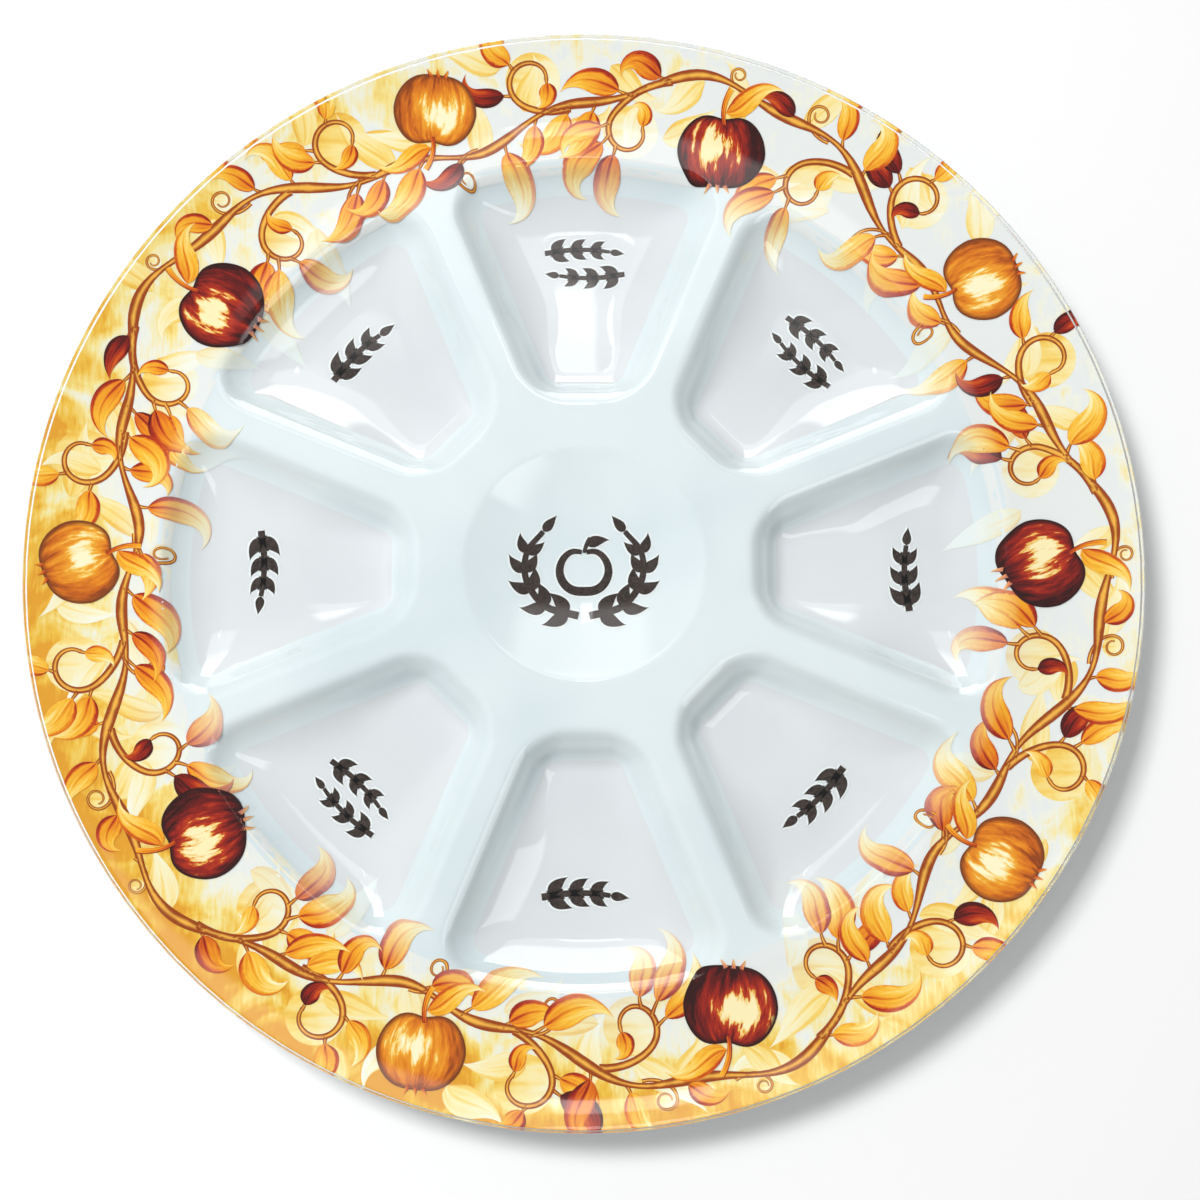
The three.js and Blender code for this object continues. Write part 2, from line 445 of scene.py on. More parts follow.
@dataclass(frozen=True)
class GoldenWash(FusedEnamel):
    """Thin fired glaze hatched with a brush round the rim: honey gold that fades to cream and white."""

    name: str = "golden_wash"
    stops: Stops = (
        (0.1, "#E6E8E6"),
        (0.32, "#EEECDC"),
        (0.58, "#F4DF8E"),
        (0.82, "#EFBF45"),
        (1.0, "#E5A02C"),
    )
    blot_mm: float = 17.0
    blot_twist: float = 0.8
    hatch_mm: Pair = (1.3, 9.0)
    hatch_turn: float = math.radians(38)
    rings_mm: Pair = (152.0, 199.0)
    strong_side: float = math.radians(222)
    side_amounts: Pair = (-1.7, -0.84)
    outward_share: float = 0.78
    blot_share: float = 1.7
    hatch_share: float = 0.55

    def colour(self, tree: NodeTree) -> Source:
        """Build the wash: stronger outwards and on one side, broken into blots and brush hatching.

        Args:
            tree: Tree of the material.

        Returns:
            The colour.
        """
        spot = plan_spot(tree)
        outwards = between_rings(tree, spot, self.rings_mm, (0.0, 1.0))
        strong = (math.cos(self.strong_side), math.sin(self.strong_side), 0.0)
        side = add_node(tree, "VectorMath", {0: spot, 1: strong}, operation="DOT_PRODUCT")
        edge = self.rings_mm[1] * MM
        sided = {"Value": side.outputs["Value"], **spans((-edge, edge), self.side_amounts)}
        sided = add_node(tree, "MapRange", sided)
        blot = {**grain(tree, self.blot_mm, 3.0), "Distortion": self.blot_twist}
        blot = add_node(tree, "TexNoise", blot)
        brush = {
            "Vector": spot,
            "Rotation": (0.0, 0.0, self.hatch_turn),
            "Scale": (*(1 / (size * MM) for size in self.hatch_mm), 1.0),
        }
        brush = add_node(tree, "Mapping", brush)
        hatch = {"Vector": brush, "Scale": 1.0, "Detail": 3.0, "Roughness": 0.6}
        hatch = add_node(tree, "TexNoise", hatch)
        strength = weighed_sum(
            tree,
            sided,
            (outwards, self.outward_share),
            (blot, self.blot_share),
            (hatch, self.hatch_share),
        )
        return add_node(tree, "ValToRGB", {"Fac": strength}, self.stops)


@dataclass(frozen=True)
class LeafPaint(FusedEnamel):
    """Brushed leaves in glass enamel: gold, orange or deep red, darker at rib, rim and one side."""

    name: str = "leaf_enamel"
    ramp: tuple[str, ...] = (
        "#FBF0C8",
        "#FBDF84",
        "#F8BE38",
        "#EE9A1A",
        "#DF700D",
        "#BB360C",
        "#8C180B",
        "#4A0C08",
    )
    line: float = 0.26
    coat: str = "#DFE8EA"
    fade_rings_mm: Pair = (126.0, 158.0)
    fade_most: float = 0.8
    fade_paler: float = -0.5
    streaks: Triple = (2.2, 7.0, 31.0)
    streak_share: float = 0.6
    side_share: float = 0.08
    tip_share: float = -0.34
    grain_mm: float = 1.6
    grain_share: float = 0.35
    heavy_side: float = 0.16
    rim_band: Pair = (0.85, 1.1)
    rib_width: float = 0.14
    rib_thinning: float = -0.16
    rib_blur: float = 0.06
    rib_strength: float = 0.8

    def colour(self, tree: NodeTree) -> Source:
        """Build the paint, which reads each leaf's tone and its place along and across.

        Args:
            tree: Tree of the material.

        Returns:
            The colour.
        """
        spot, across, off = brush_place(tree)
        along = spot.outputs["X"]
        streak = bristle_marks(tree, (along, spot.outputs["Y"]), self.streaks, 3.0, 0.6)
        painted = weighed_sum(
            tree,
            add_node(tree, "Attribute", attribute_name="tone").outputs["Fac"],
            (across, self.side_share),
            (along, self.tip_share),
            (streak, self.streak_share),
        )
        grit = add_node(tree, "TexNoise", grain(tree, self.grain_mm, 3.0))
        frayed = weighed_sum(tree, off, (across, self.heavy_side), (grit, self.grain_share))
        rim = add_node(tree, "MapRange", {"Value": frayed, **spans(self.rim_band)})
        thin = {0: along, 1: self.rib_thinning, 2: self.rib_width}
        thin = add_node(tree, "Math", thin, operation="MULTIPLY_ADD")
        rib = add_node(tree, "Math", {0: thin, 1: off}, operation="SUBTRACT")
        rib_edge = spans((-self.rib_blur, self.rib_blur), (0.0, self.rib_strength))
        rib = add_node(tree, "MapRange", {"Value": rib, **rib_edge})
        dark = add_node(tree, "Math", {0: rim, 1: rib}, operation="MAXIMUM")
        faded = between_rings(tree, plan_spot(tree), self.fade_rings_mm, (self.fade_most, 0.0))
        shade = weighed_sum(tree, painted, (dark, self.line), (faded, self.fade_paler))
        last = len(self.ramp) - 1
        stops = tuple((number / last, code) for number, code in enumerate(self.ramp))
        paint = add_node(tree, "ValToRGB", {"Fac": shade}, stops)
        mixed = {0: faded, 6: paint, 7: linear(self.coat)}
        return add_node(tree, "Mix", mixed, data_type="RGBA").outputs[2]


@dataclass(frozen=True)
class FruitPaint(FusedEnamel):
    """Apple painted in glass enamel: a dark outline, streaks from stalk to blossom end, a lit middle."""

    name: str
    stops: Stops
    outline: str
    bulge: float = -0.8
    streaks: Triple = (5.5, 1.1, 9.0)
    streak_share: float = 1.4
    lit_spot: Triple = (-0.18, 0.1, 0.0)
    lit_reach: Pair = (1.0, 0.05)
    lit_amounts: Pair = (-0.34, 0.36)
    outline_band: Pair = (0.86, 0.97)

    def colour(self, tree: NodeTree) -> Source:
        """Build the fruit paint. The brush map gives the place across and up, from -1 to 1.

        Args:
            tree: Tree of the material.

        Returns:
            The colour.
        """
        brush = add_node(tree, "UVMap", uv_map="brush")
        centred = {0: brush, 1: (2.0, 2.0, 0.0), 2: (-1.0, -1.0, 0.0)}
        centred = add_node(tree, "VectorMath", centred, operation="MULTIPLY_ADD")
        spot = add_node(tree, "SeparateXYZ", {0: centred})
        up = spot.outputs["Y"]
        square = add_node(tree, "Math", {0: up, 1: up}, operation="MULTIPLY")
        narrow = {0: square, 1: self.bulge, 2: 1.0}
        narrow = add_node(tree, "Math", narrow, operation="MULTIPLY_ADD")
        breadth = add_node(tree, "Math", {0: narrow}, operation="SQRT")
        meridian = {0: spot.outputs["X"], 1: breadth}
        meridian = add_node(tree, "Math", meridian, operation="DIVIDE")
        streak = bristle_marks(tree, (meridian, up), self.streaks, 4.0, 0.65)
        off = add_node(tree, "VectorMath", {0: centred, 1: self.lit_spot}, operation="DISTANCE")
        ball = {"Value": off.outputs["Value"], **spans(self.lit_reach, self.lit_amounts)}
        ball = add_node(tree, "MapRange", ball)
        light = {0: streak, 1: self.streak_share, 2: ball}
        light = add_node(tree, "Math", light, operation="MULTIPLY_ADD")
        skin = add_node(tree, "ValToRGB", {"Fac": light}, self.stops)
        reach = add_node(tree, "VectorMath", {0: centred}, operation="LENGTH")
        line = {"Value": reach.outputs["Value"], **spans(self.outline_band)}
        line = add_node(tree, "MapRange", line)
        mixed = {0: line, 6: skin, 7: linear(self.outline)}
        return add_node(tree, "Mix", mixed, data_type="RGBA").outputs[2]


@dataclass(frozen=True)
class StemPaint(FusedEnamel):
    """Long brush strokes of brown and orange enamel: dark sides, a lighter core, uneven load of paint."""

    name: str = "stem_enamel"
    stops: Stops = ((0.5, "#F2B245"), (1.0, "#9A400C"))
    load_mm: float = 7.0
    load_share: float = 0.9

    def colour(self, tree: NodeTree) -> Source:
        """Build the paint of stalks, twigs and tendrils.

        Args:
            tree: Tree of the material.

        Returns:
            The colour.
        """
        off = brush_place(tree)[2]
        load = add_node(tree, "TexNoise", grain(tree, self.load_mm, 3.0))
        worn = {0: load, 1: self.load_share, 2: off}
        worn = add_node(tree, "Math", worn, operation="MULTIPLY_ADD")
        return add_node(tree, "ValToRGB", {"Fac": worn}, self.stops)


@dataclass(frozen=True)
class FlatInk(FusedEnamel):
    """Screen-printed enamel of one colour: even, with a fine mottle where the mesh let less through."""

    name: str
    light: str
    deep: str
    mottle_mm: float = 0.9

    def colour(self, tree: NodeTree) -> Source:
        """Build the ink's colour."""
        mottle = add_node(tree, "TexNoise", grain(tree, self.mottle_mm, 2.0))
        return add_node(tree, "ValToRGB", {"Fac": mottle}, ((0.35, self.deep), (0.7, self.light)))


GHOST_LEAF = LeafPaint(
    name="pale_leaf_enamel",
    ramp=("#F6F3E0", "#F7EDC4", "#F8E198", "#F5D06A", "#EFBC4A", "#E6A336"),
    line=0.22,
    fade_rings_mm=(142.0, 172.0),
)
RED_APPLE = FruitPaint(
    "red_apple_enamel",
    (
        (0.3, "#300808"),
        (0.48, "#6A1210"),
        (0.64, "#9A2012"),
        (0.79, "#C23C15"),
        (0.82, "#EEB848"),
        (0.93, "#FBEAB6"),
    ),
    "#2E0B0A",
)
AMBER_APPLE = FruitPaint(
    "amber_apple_enamel",
    (
        (0.25, "#8E3D0C"),
        (0.42, "#C9620F"),
        (0.6, "#E38417"),
        (0.77, "#EFA52C"),
        (0.81, "#F8CF66"),
        (0.94, "#FDF1C9"),
    ),
    "#7A3A12",
)
DARK_INK = FlatInk("umber_ink", "#4A3F3A", "#2E2623")
WHITE_INK = FlatInk("white_ink", "#F3F6F6", "#E9EEEE")


# Shape


def graded(*runs: tuple[float, float, int]) -> np.ndarray:
    """Join runs of evenly spaced levels.

    Args:
        runs: Start, stop and number of steps of each run.

    Returns:
        All levels in rising order, each once.
    """
    levels = [np.linspace(start, stop, steps + 1) for start, stop, steps in runs]
    return np.unique(np.round(np.concatenate(levels), 4))


def softened(heights: np.ndarray, window: int) -> np.ndarray:
    """Round the bends of an evenly spaced line by a running mean.

    Args:
        heights: Heights at even steps.
        window: Number of steps in the mean, odd.

    Returns:
        The softened heights.
    """
    half = window // 2
    padded = np.concatenate([heights[half:0:-1], heights, np.repeat(heights[-1], half)])
    return np.convolve(padded, np.full(window, 1 / window), "valid")


def lowered(line: Line, depth: float) -> Line:
    """Move a section line down its own normal by a depth.

    Args:
        line: Places and heights at even steps.
        depth: Distance under the line.

    Returns:
        The line under it, at the same places.
    """
    if depth == 0:
        return line
    gap = line[:, None, 0] - line[None, :, 0]
    drop = np.sqrt(np.clip(depth**2 - gap**2, 0, None))
    heights = np.where(np.abs(gap) <= depth, line[None, :, 1] - drop, np.inf)
    return np.stack([line[:, 0], heights.min(axis=1)], axis=1)


def rounded(first: np.ndarray, second: np.ndarray, corner: float, growth: float) -> np.ndarray:
    """Join two insets round a corner whose radius grows inwards.

    Args:
        first: Insets from one side.
        second: Insets from the other side.
        corner: Corner radius at the crease.
        growth: Growth of that radius per length inwards.

    Returns:
        Insets from the rounded outline.
    """
    least = np.minimum(first, second)
    a, b = corner - first, corner - second
    outside = corner - np.hypot(np.clip(a, 0, None), np.clip(b, 0, None))
    grow = 1 + growth
    square = 2 * grow**2 - growth**2
    middle = grow * (a + b) - growth * corner
    rest = a**2 + b**2 - corner**2
    inside = (np.sqrt(np.clip(middle**2 - square * rest, 0, None)) - middle) / square
    near = np.abs(first - second) < corner + growth * least
    inside = np.where(near, inside, least)
    return np.where((least < 0) | (outside < 0), np.minimum(outside, least), inside)


@dataclass(frozen=True)
class PlateForm:
    """Shape of the slumped glass in millimetres, with heights from the top of the flat web."""

    recess_radius: float = 43.5
    recess_depth: float = 6.0
    well_inner: float = 69.3
    well_outer: float = 144.5
    well_count: int = 8
    half_spoke: float = 13.8
    shoulder_width: float = 10.0
    shoulder_radius: float = 7.0
    well_depth: float = 13.0
    bowl_width: float = 16.1
    bowl_from: float = 69.0
    bowl_full: float = 104.0
    end_steepness: float = 2.2
    inner_corner: Pair = (3.6, 0.06)
    outer_corner: Pair = (8.0, 0.3)
    rim_start: float = 156.0
    rim_width: float = 41.25
    rim_rise: float = 7.16
    reach: float = 203.0
    stand_height: float = 20.3
    step: float = 0.1
    wall_reach: Pair = (-20.0, 25.0)
    dish_bend: int = 21
    wall_bend: int = 15

    @cached_property
    def half_angle(self) -> float:
        """Angle from the middle of a well to the middle of the spoke beside it."""
        return math.pi / self.well_count

    @cached_property
    def dish_line(self) -> Line:
        """Draw the recess, the flat web and the rim.

        Returns:
            Radii and heights.
        """
        radius = np.arange(0, self.reach, self.step)
        sphere = (self.recess_radius**2 + self.recess_depth**2) / (2 * self.recess_depth)
        inside = np.minimum(radius, self.recess_radius)
        recess = sphere - np.sqrt(sphere**2 - inside**2) - self.recess_depth
        curve = (self.rim_width**2 + self.rim_rise**2) / (2 * self.rim_rise)
        past = np.clip(radius - self.rim_start, 0, None)
        rim = curve - np.sqrt(curve**2 - past**2)
        return np.stack([radius, softened(recess + rim, self.dish_bend)], axis=1)

    @cached_property
    def wall_slope(self) -> float:
        """Angle of a well's wall where its shoulder turns into its bowl."""
        return 2 * math.atan(self.well_depth / (self.shoulder_width + self.bowl_width))

    @cached_property
    def turn_inset(self) -> float:
        """Inset from a well's crease of the steepest line on its wall."""
        return self.shoulder_radius * math.sin(self.wall_slope) - self.shoulder_width

    @cached_property
    def wall_line(self) -> Line:
        """Draw the round shoulder, wide bowl and floor of a well.

        Returns:
            Insets from the well's crease, and heights.
        """
        inset = np.arange(*self.wall_reach, self.step)
        into = (inset + self.shoulder_width) / (self.turn_inset + self.shoulder_width)
        out = (self.bowl_width - inset) / (self.bowl_width - self.turn_inset)
        lean = np.clip(np.minimum(into, out), 0, 1) * math.sin(self.wall_slope)
        drop = np.cumsum(np.tan(np.arcsin(lean)))
        height = -self.well_depth * drop / drop[-1]
        return np.stack([inset, softened(height, self.wall_bend)], axis=1)

    @lru_cache(maxsize=None)
    def sections(self, depth: float) -> tuple[Line, Line]:
        """Give the dish line and the wall line at a depth in the glass."""
        return lowered(self.dish_line, depth), lowered(self.wall_line, depth)

    def from_axis(self, x: np.ndarray, y: np.ndarray) -> tuple[np.ndarray, np.ndarray]:
        """Find where points lie from the middle line of the nearest well.

        Args:
            x: Places along X.
            y: Places along Y.

        Returns:
            Distances along that line, and off it.
        """
        half = self.half_angle
        angle = np.abs((np.arctan2(y, x) + half) % (2 * half) - half)
        radius = np.hypot(x, y)
        return radius * np.cos(angle), radius * np.sin(angle)

    def inset(self, x: np.ndarray, y: np.ndarray) -> np.ndarray:
        """Measure how far points lie inside the nearest well's crease.

        Args:
            x: Places along X.
            y: Places along Y.

        Returns:
            Insets, below zero outside the wells.
        """
        forward, aside = self.from_axis(x, y)
        side = forward * math.sin(self.half_angle) - aside * math.cos(self.half_angle)
        side -= self.half_spoke
        inner = rounded(side, forward - self.well_inner, *self.inner_corner)
        outer = rounded(side, self.well_outer - np.hypot(x, y), *self.outer_corner)
        return np.minimum(inner, outer)

    def wall_place(self, x: np.ndarray, y: np.ndarray) -> np.ndarray:
        """Find where points lie along the wall's section, which is steeper at the narrow end.

        Args:
            x: Places along X.
            y: Places along Y.

        Returns:
            Insets along the wall line.
        """
        forward = self.from_axis(x, y)[0]
        share = np.clip((forward - self.bowl_from) / (self.bowl_full - self.bowl_from), 0, 1)
        eased = share * share * (3 - 2 * share)
        inset = self.inset(x, y)
        past = np.clip(inset - self.turn_inset, 0, None)
        steepness = self.end_steepness + (1 - self.end_steepness) * eased
        return np.minimum(inset, self.turn_inset) + past * steepness

    def height(self, x: np.ndarray, y: np.ndarray, depth: float) -> np.ndarray:
        """Find heights over the table of the surface at a depth in the glass.

        Args:
            x: Places along X.
            y: Places along Y.
            depth: Distance under the top surface.

        Returns:
            Heights, in millimetres.
        """
        dish, wall = self.sections(depth)
        over = np.interp(np.hypot(x, y), dish[:, 0], dish[:, 1])
        under = np.interp(self.wall_place(x, y), wall[:, 0], wall[:, 1])
        return self.stand_height + over + under + depth


@dataclass(frozen=True)
class PlanNet:
    """The plate's plan as one net of quads whose lines follow the outlines of the wells."""

    form: PlateForm
    insets: np.ndarray
    rim_end: float
    recess_steps: int = 14
    rim_steps: int = 16
    floor_steps: int = 10
    floor_columns: int = 4
    held: float = 21.0
    room_share: float = 0.96
    recess_margin: float = 3.0
    edge_band: tuple[float, int] = (2.0, 5)
    web_band: tuple[float, float, int] = (4.5, 1.5, 3)
    straight_zone: Triple = (12.0, 15.0, 20.0)

    @cached_property
    def fixed(self) -> np.ndarray:
        """Distances from the spoke's middle of the columns that keep their place."""
        return np.concatenate([[0.0], self.form.half_spoke + self.insets])

    def rows(self) -> np.ndarray:
        """List the rows.

        Returns:
            Their distances from the middle along a well's axis.
        """
        edge = self.form.recess_radius
        inner = self.form.well_inner + self.insets
        outer = self.form.well_outer - self.insets[::-1]
        band, band_steps = self.edge_band
        web_start, web_margin, web_steps = self.web_band
        return np.concatenate(
            [
                np.linspace(0, edge - self.recess_margin, self.recess_steps),
                graded((edge - band, edge + band, band_steps)),
                np.linspace(edge + web_start, inner[0] - web_margin, web_steps),
                inner,
                np.linspace(inner[-1], outer[0], self.floor_steps)[1:-1],
                outer,
                np.linspace(outer[-1], self.rim_end, self.rim_steps)[1:],
            ]
        )

    def offset(self, column: int, row: float) -> float:
        """Place a column on a row. The columns crowd together where the well grows narrow.

        Args:
            column: Number of the column, from the spoke's middle.
            row: Distance of the row from the plate's middle.

        Returns:
            Distance from the spoke's middle.
        """
        fixed = self.fixed
        widest = row * math.sin(self.form.half_angle)
        scale = min(1.0, row / self.form.well_inner)
        room = self.room_share * widest / scale if scale else fixed[-1]
        squeeze = min(1.0, (room - self.held) / (fixed[-1] - self.held))
        if column < len(fixed):
            past = max(fixed[column] - self.held, 0)
            return (min(fixed[column], self.held) + past * squeeze) * scale
        share = (column - len(fixed) + 1) / self.floor_columns
        last = (self.held + (fixed[-1] - self.held) * squeeze) * scale
        return last * (1 - share) + widest * share

    def run(self, row: float, off: float) -> float:
        """Follow a row, which is straight across a well's narrow end and an arc elsewhere.

        Args:
            row: Distance of the row from the plate's middle.
            off: Distance from the spoke's middle.

        Returns:
            Distance along the spoke.
        """
        form = self.form
        half = form.half_angle
        ring = math.sqrt(max(row**2 - off**2, 0))
        chord = (row - off * math.sin(half)) / math.cos(half)
        before, after, short = self.straight_zone
        zone = [
            form.recess_radius,
            form.well_inner - before,
            form.well_inner + after,
            form.well_outer - short,
        ]
        return ring + (chord - ring) * np.interp(row, zone, [0, 1, 1, 0])

    def build(self) -> BMesh:
        """Build the net, flat, in millimetres.

        Returns:
            A bmesh in the XY plane, facing up.
        """
        count, half = self.form.well_count, self.form.half_angle
        rows = self.rows()
        net = bmesh.new()
        across = len(self.fixed) + self.floor_columns - 1
        bmesh.ops.create_grid(net, x_segments=across, y_segments=len(rows) - 1, size=1.0)
        for vert in net.verts:
            row = rows[round((vert.co.y + 1) / 2 * (len(rows) - 1))]
            off = self.offset(round((vert.co.x + 1) / 2 * across), row)
            run = self.run(row, off)
            vert.co.x = run * math.cos(half) + off * math.sin(half)
            vert.co.y = run * math.sin(half) - off * math.cos(half)
        bmesh.ops.mirror(net, geom=net.verts[:] + net.edges[:] + net.faces[:], axis="Y")
        bmesh.ops.spin(
            net,
            geom=net.verts[:] + net.edges[:] + net.faces[:],
            cent=(0, 0, 0),
            axis=(0, 0, 1),
            angle=2 * math.pi * (count - 1) / count,
            steps=count - 1,
            use_duplicate=True,
        )
        bmesh.ops.remove_doubles(net, verts=net.verts[:], dist=0.01)
        bmesh.ops.recalc_face_normals(net, faces=net.faces[:])
        if sum(face.normal.z for face in net.faces) < 0:
            bmesh.ops.reverse_faces(net, faces=net.faces[:])
        return net

    def draped(self, depth: float) -> Mesh:
        """Lay the net on the surface at a depth in the glass.

        Args:
            depth: Distance under the top surface.

        Returns:
            The net as a mesh, in millimetres.
        """
        net = self.build()
        places = np.array([vert.co for vert in net.verts])
        heights = self.form.height(places[:, 0], places[:, 1], depth)
        for vert, height in zip(net.verts, heights):
            vert.co.z = height
        mesh = bpy.data.meshes.new("net")
        net.to_mesh(mesh)
        net.free()
        return mesh


def shell(top: Mesh, bottom: Mesh, round_by: float) -> BMesh:
    """Close two nets into one body.

    Args:
        top: Upper net, facing up.
        bottom: Lower net, facing up.
        round_by: How far the two rim edges are rounded, or 0.

    Returns:
        The body. Its lower faces have material 1.
    """
    body = bmesh.new()
    body.from_mesh(bottom)
    bmesh.ops.reverse_faces(body, faces=body.faces[:])
    for face in body.faces:
        face.material_index = 1
    body.from_mesh(top)
    rims = [edge for edge in body.edges if edge.is_boundary]
    bridged = bmesh.ops.bridge_loops(body, edges=rims)
    for face in bridged["faces"]:
        face.material_index = 0
    if round_by:
        bmesh.ops.bevel(
            body,
            geom=rims,
            offset=round_by,
            segments=4,
            profile=0.5,
            affect="EDGES",
            material=-1,
        )
    return body


def in_scene(name: str, data: ID) -> Object:
    """Put a mesh, lamp or camera into the scene.

    Args:
        name: Name of the new object.
        data: What it shows.

    Returns:
        The object, at the origin.
    """
    made = bpy.data.objects.new(name, data)
    bpy.context.scene.collection.objects.link(made)
    return made


def finished(body: BMesh, name: str, materials: list[Material]) -> Object:
    """Turn a bmesh in millimetres into a smooth piece that rides on the plate.

    Args:
        body: The shape, which is freed.
        name: Name of the piece.
        materials: Its finishes, by material index.

    Returns:
        The new object, at the origin.
    """
    bmesh.ops.scale(body, vec=(MM, MM, MM), verts=body.verts[:])
    for face in body.faces:
        face.smooth = True
    mesh = bpy.data.meshes.new(name)
    body.to_mesh(mesh)
    body.free()
    for material in materials:
        mesh.materials.append(material)
    piece = in_scene(name, mesh)
    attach(piece, BODY)
    return piece


# Glass and coat


@dataclass
class GlassPlate:
    """The clear plate itself, and the white coat that is fired on its back."""

    form: PlateForm
    glass: float = 4.0
    glass_reach: float = 199.8
    edge_round: float = 0.5
    glass_runs: tuple = ((-11.5, -9.5, 2), (-9.5, -1.5, 10), (-1.5, 6.0, 7), (6.0, 16.4, 7))
    coat_top: float = 4.4
    coat: float = 0.4
    coat_reach: float = 199.4
    coat_runs: tuple = ((-12.0, -2.0, 8), (-2.0, 4.0, 6), (4.0, 16.4, 9))

    def layer(self, runs: tuple, reach: float, depths: Pair, round_by: float) -> BMesh:
        """Build the closed body between two depths. Its back has a coarser net.

        Args:
            runs: Insets of the net's lines from the wells' creases.
            reach: Radius of the layer.
            depths: Depths of its top and back.
            round_by: How far its rim edges are rounded, or 0.

        Returns:
            The body.
        """
        top = PlanNet(self.form, graded(*runs), reach)
        back = replace(top, recess_steps=8, rim_steps=8, floor_steps=6)
        return shell(top.draped(depths[0]), back.draped(depths[1]), round_by)

    def build_glass(self) -> Object:
        """Build the glass with a polished, rounded edge.

        Returns:
            The glass piece.
        """
        body = self.layer(self.glass_runs, self.glass_reach, (0, self.glass), self.edge_round)
        finishes = [ClearGlass().make(), FiredJoint().make()]
        piece = finished(body, "clear_glass", finishes)
        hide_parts("glass_plate")
        return piece

    def build_coat(self) -> Object:
        """Build the white coat, with the inset from each crease kept for its colour.

        Returns:
            The coat piece.
        """
        depths = (self.coat_top, self.coat_top + self.coat)
        body = self.layer(self.coat_runs, self.coat_reach, depths, 0)
        layer = body.verts.layers.float.new("inset")
        places = np.array([vert.co for vert in body.verts])
        for vert, inset in zip(body.verts, self.form.inset(places[:, 0], places[:, 1])):
            vert[layer] = inset
        finishes = [FiredCoat().make(), CoatBack().make()]
        piece = finished(body, "white_coat", finishes)
        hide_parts("white_backing")
        return piece


# Print


class Layer(Enum):
    """Depths of the fired layers under the top of the glass, in millimetres."""

    DETAIL = 4.02
    FRUIT = 4.04
    LEAF = 4.07
    STEM = 4.195
    PALE_LEAF = 4.235
    PALE_FILL = 4.29
    WASH = 4.34


def turned(angle: float) -> np.ndarray:
    """Give the matrix of a turn in the plan."""
    return np.array([[math.cos(angle), -math.sin(angle)], [math.sin(angle), math.cos(angle)]])


def placed(angle: float, at: Pair, turn: float = 0.0) -> Place:
    """Make a move from a motif's own plane to the plate's plan.

    Args:
        angle: Turn of the whole motif round the plate's middle.
        at: Place of the motif before that turn.
        turn: Turn of the motif about its own place.

    Returns:
        A function that moves points.
    """
    local, whole = turned(turn), turned(angle)
    return lambda points: (points @ local.T + np.array(at)) @ whole.T


def heading_at(line: Line, step: int) -> float:
    """Find the direction of a line at one of its points."""
    along = np.gradient(line, axis=0)[step]
    return math.atan2(along[1], along[0])


def bowed(
    start: Pair, heading: float, length: float, bend: float, steps: int, sway: float = 0.0
) -> Line:
    """Draw a line whose heading turns evenly, and may sway out and back.

    Args:
        start: First point.
        heading: Direction at the start, in radians.
        length: Length of the line.
        bend: Turn of the heading over the whole length.
        steps: Number of steps.
        sway: Extra turn at two fifths of the way, which the tip takes back and beyond.

    Returns:
        The points of the line.
    """
    share = (np.arange(steps) + 0.5) / steps
    headings = heading + bend * share + sway * np.sin(1.25 * math.pi * share)
    moves = np.stack([np.cos(headings), np.sin(headings)], axis=1) * length / steps
    return np.concatenate([[start], np.array(start) + np.cumsum(moves, axis=0)])


def coiled(
    root: Pair,
    middle: Pair,
    radius: float,
    turns: float,
    core: float = 0.42,
    arrival: float = 0.3,
    steps: int = 52,
) -> Line:
    """Draw a scroll that leaves its root and winds in on its middle.

    Args:
        root: First point.
        middle: Point it winds round.
        radius: Distance from the middle that it soon keeps.
        turns: Number of turns, below zero to wind the other way.
        core: Share of the radius that is left at the end.
        arrival: Share of its length in which it reaches that radius.
        steps: Number of steps.

    Returns:
        The points of the scroll.
    """
    share = np.linspace(0, 1, steps + 1)
    off = np.array(root) - np.array(middle)
    turn = math.atan2(off[1], off[0]) + 2 * math.pi * turns * share
    arrive = np.clip(1 - share / arrival, 0, None) ** 3
    reach = radius * (1 - (1 - core) * share) + (math.hypot(*off) - radius) * arrive
    return np.array(middle) + np.stack([reach * np.cos(turn), reach * np.sin(turn)], axis=1)


def spline(points: list[Pair], steps: int) -> Line:
    """Draw a smooth line through points.

    Args:
        points: Points that the line passes.
        steps: Steps between each two of them.

    Returns:
        The points of the line.
    """
    knots = np.array(points, float)
    knots = np.concatenate([[2 * knots[0] - knots[1]], knots, [2 * knots[-1] - knots[-2]]])
    line = [knots[1]]
    for a, b, c, d in zip(knots, knots[1:], knots[2:], knots[3:]):
        for share in np.arange(1, steps + 1) / steps:
            bend = (2 * a - 5 * b + 4 * c - d) * share**2 + (3 * b - a - 3 * c + d) * share**3
            line.append(b + (c - a) * share / 2 + bend / 2)
    return np.array(line)


def leaf_breadth(steps: int, half_width: float) -> np.ndarray:
    """Shape a leaf that is widest at a third of its rib and has a drawn-out tip.

    Args:
        steps: Number of steps along the rib.
        half_width: Half width at the widest place.

    Returns:
        Its half widths.
    """
    share = np.linspace(0, 1, steps + 1)
    shape = share**0.75 * (1 - share) ** 1.5
    return half_width * shape / shape.max()


def taper(steps: int, start: float, stop: float) -> np.ndarray:
    """Half widths of a stalk that thins evenly."""
    return np.linspace(start, stop, steps + 1)


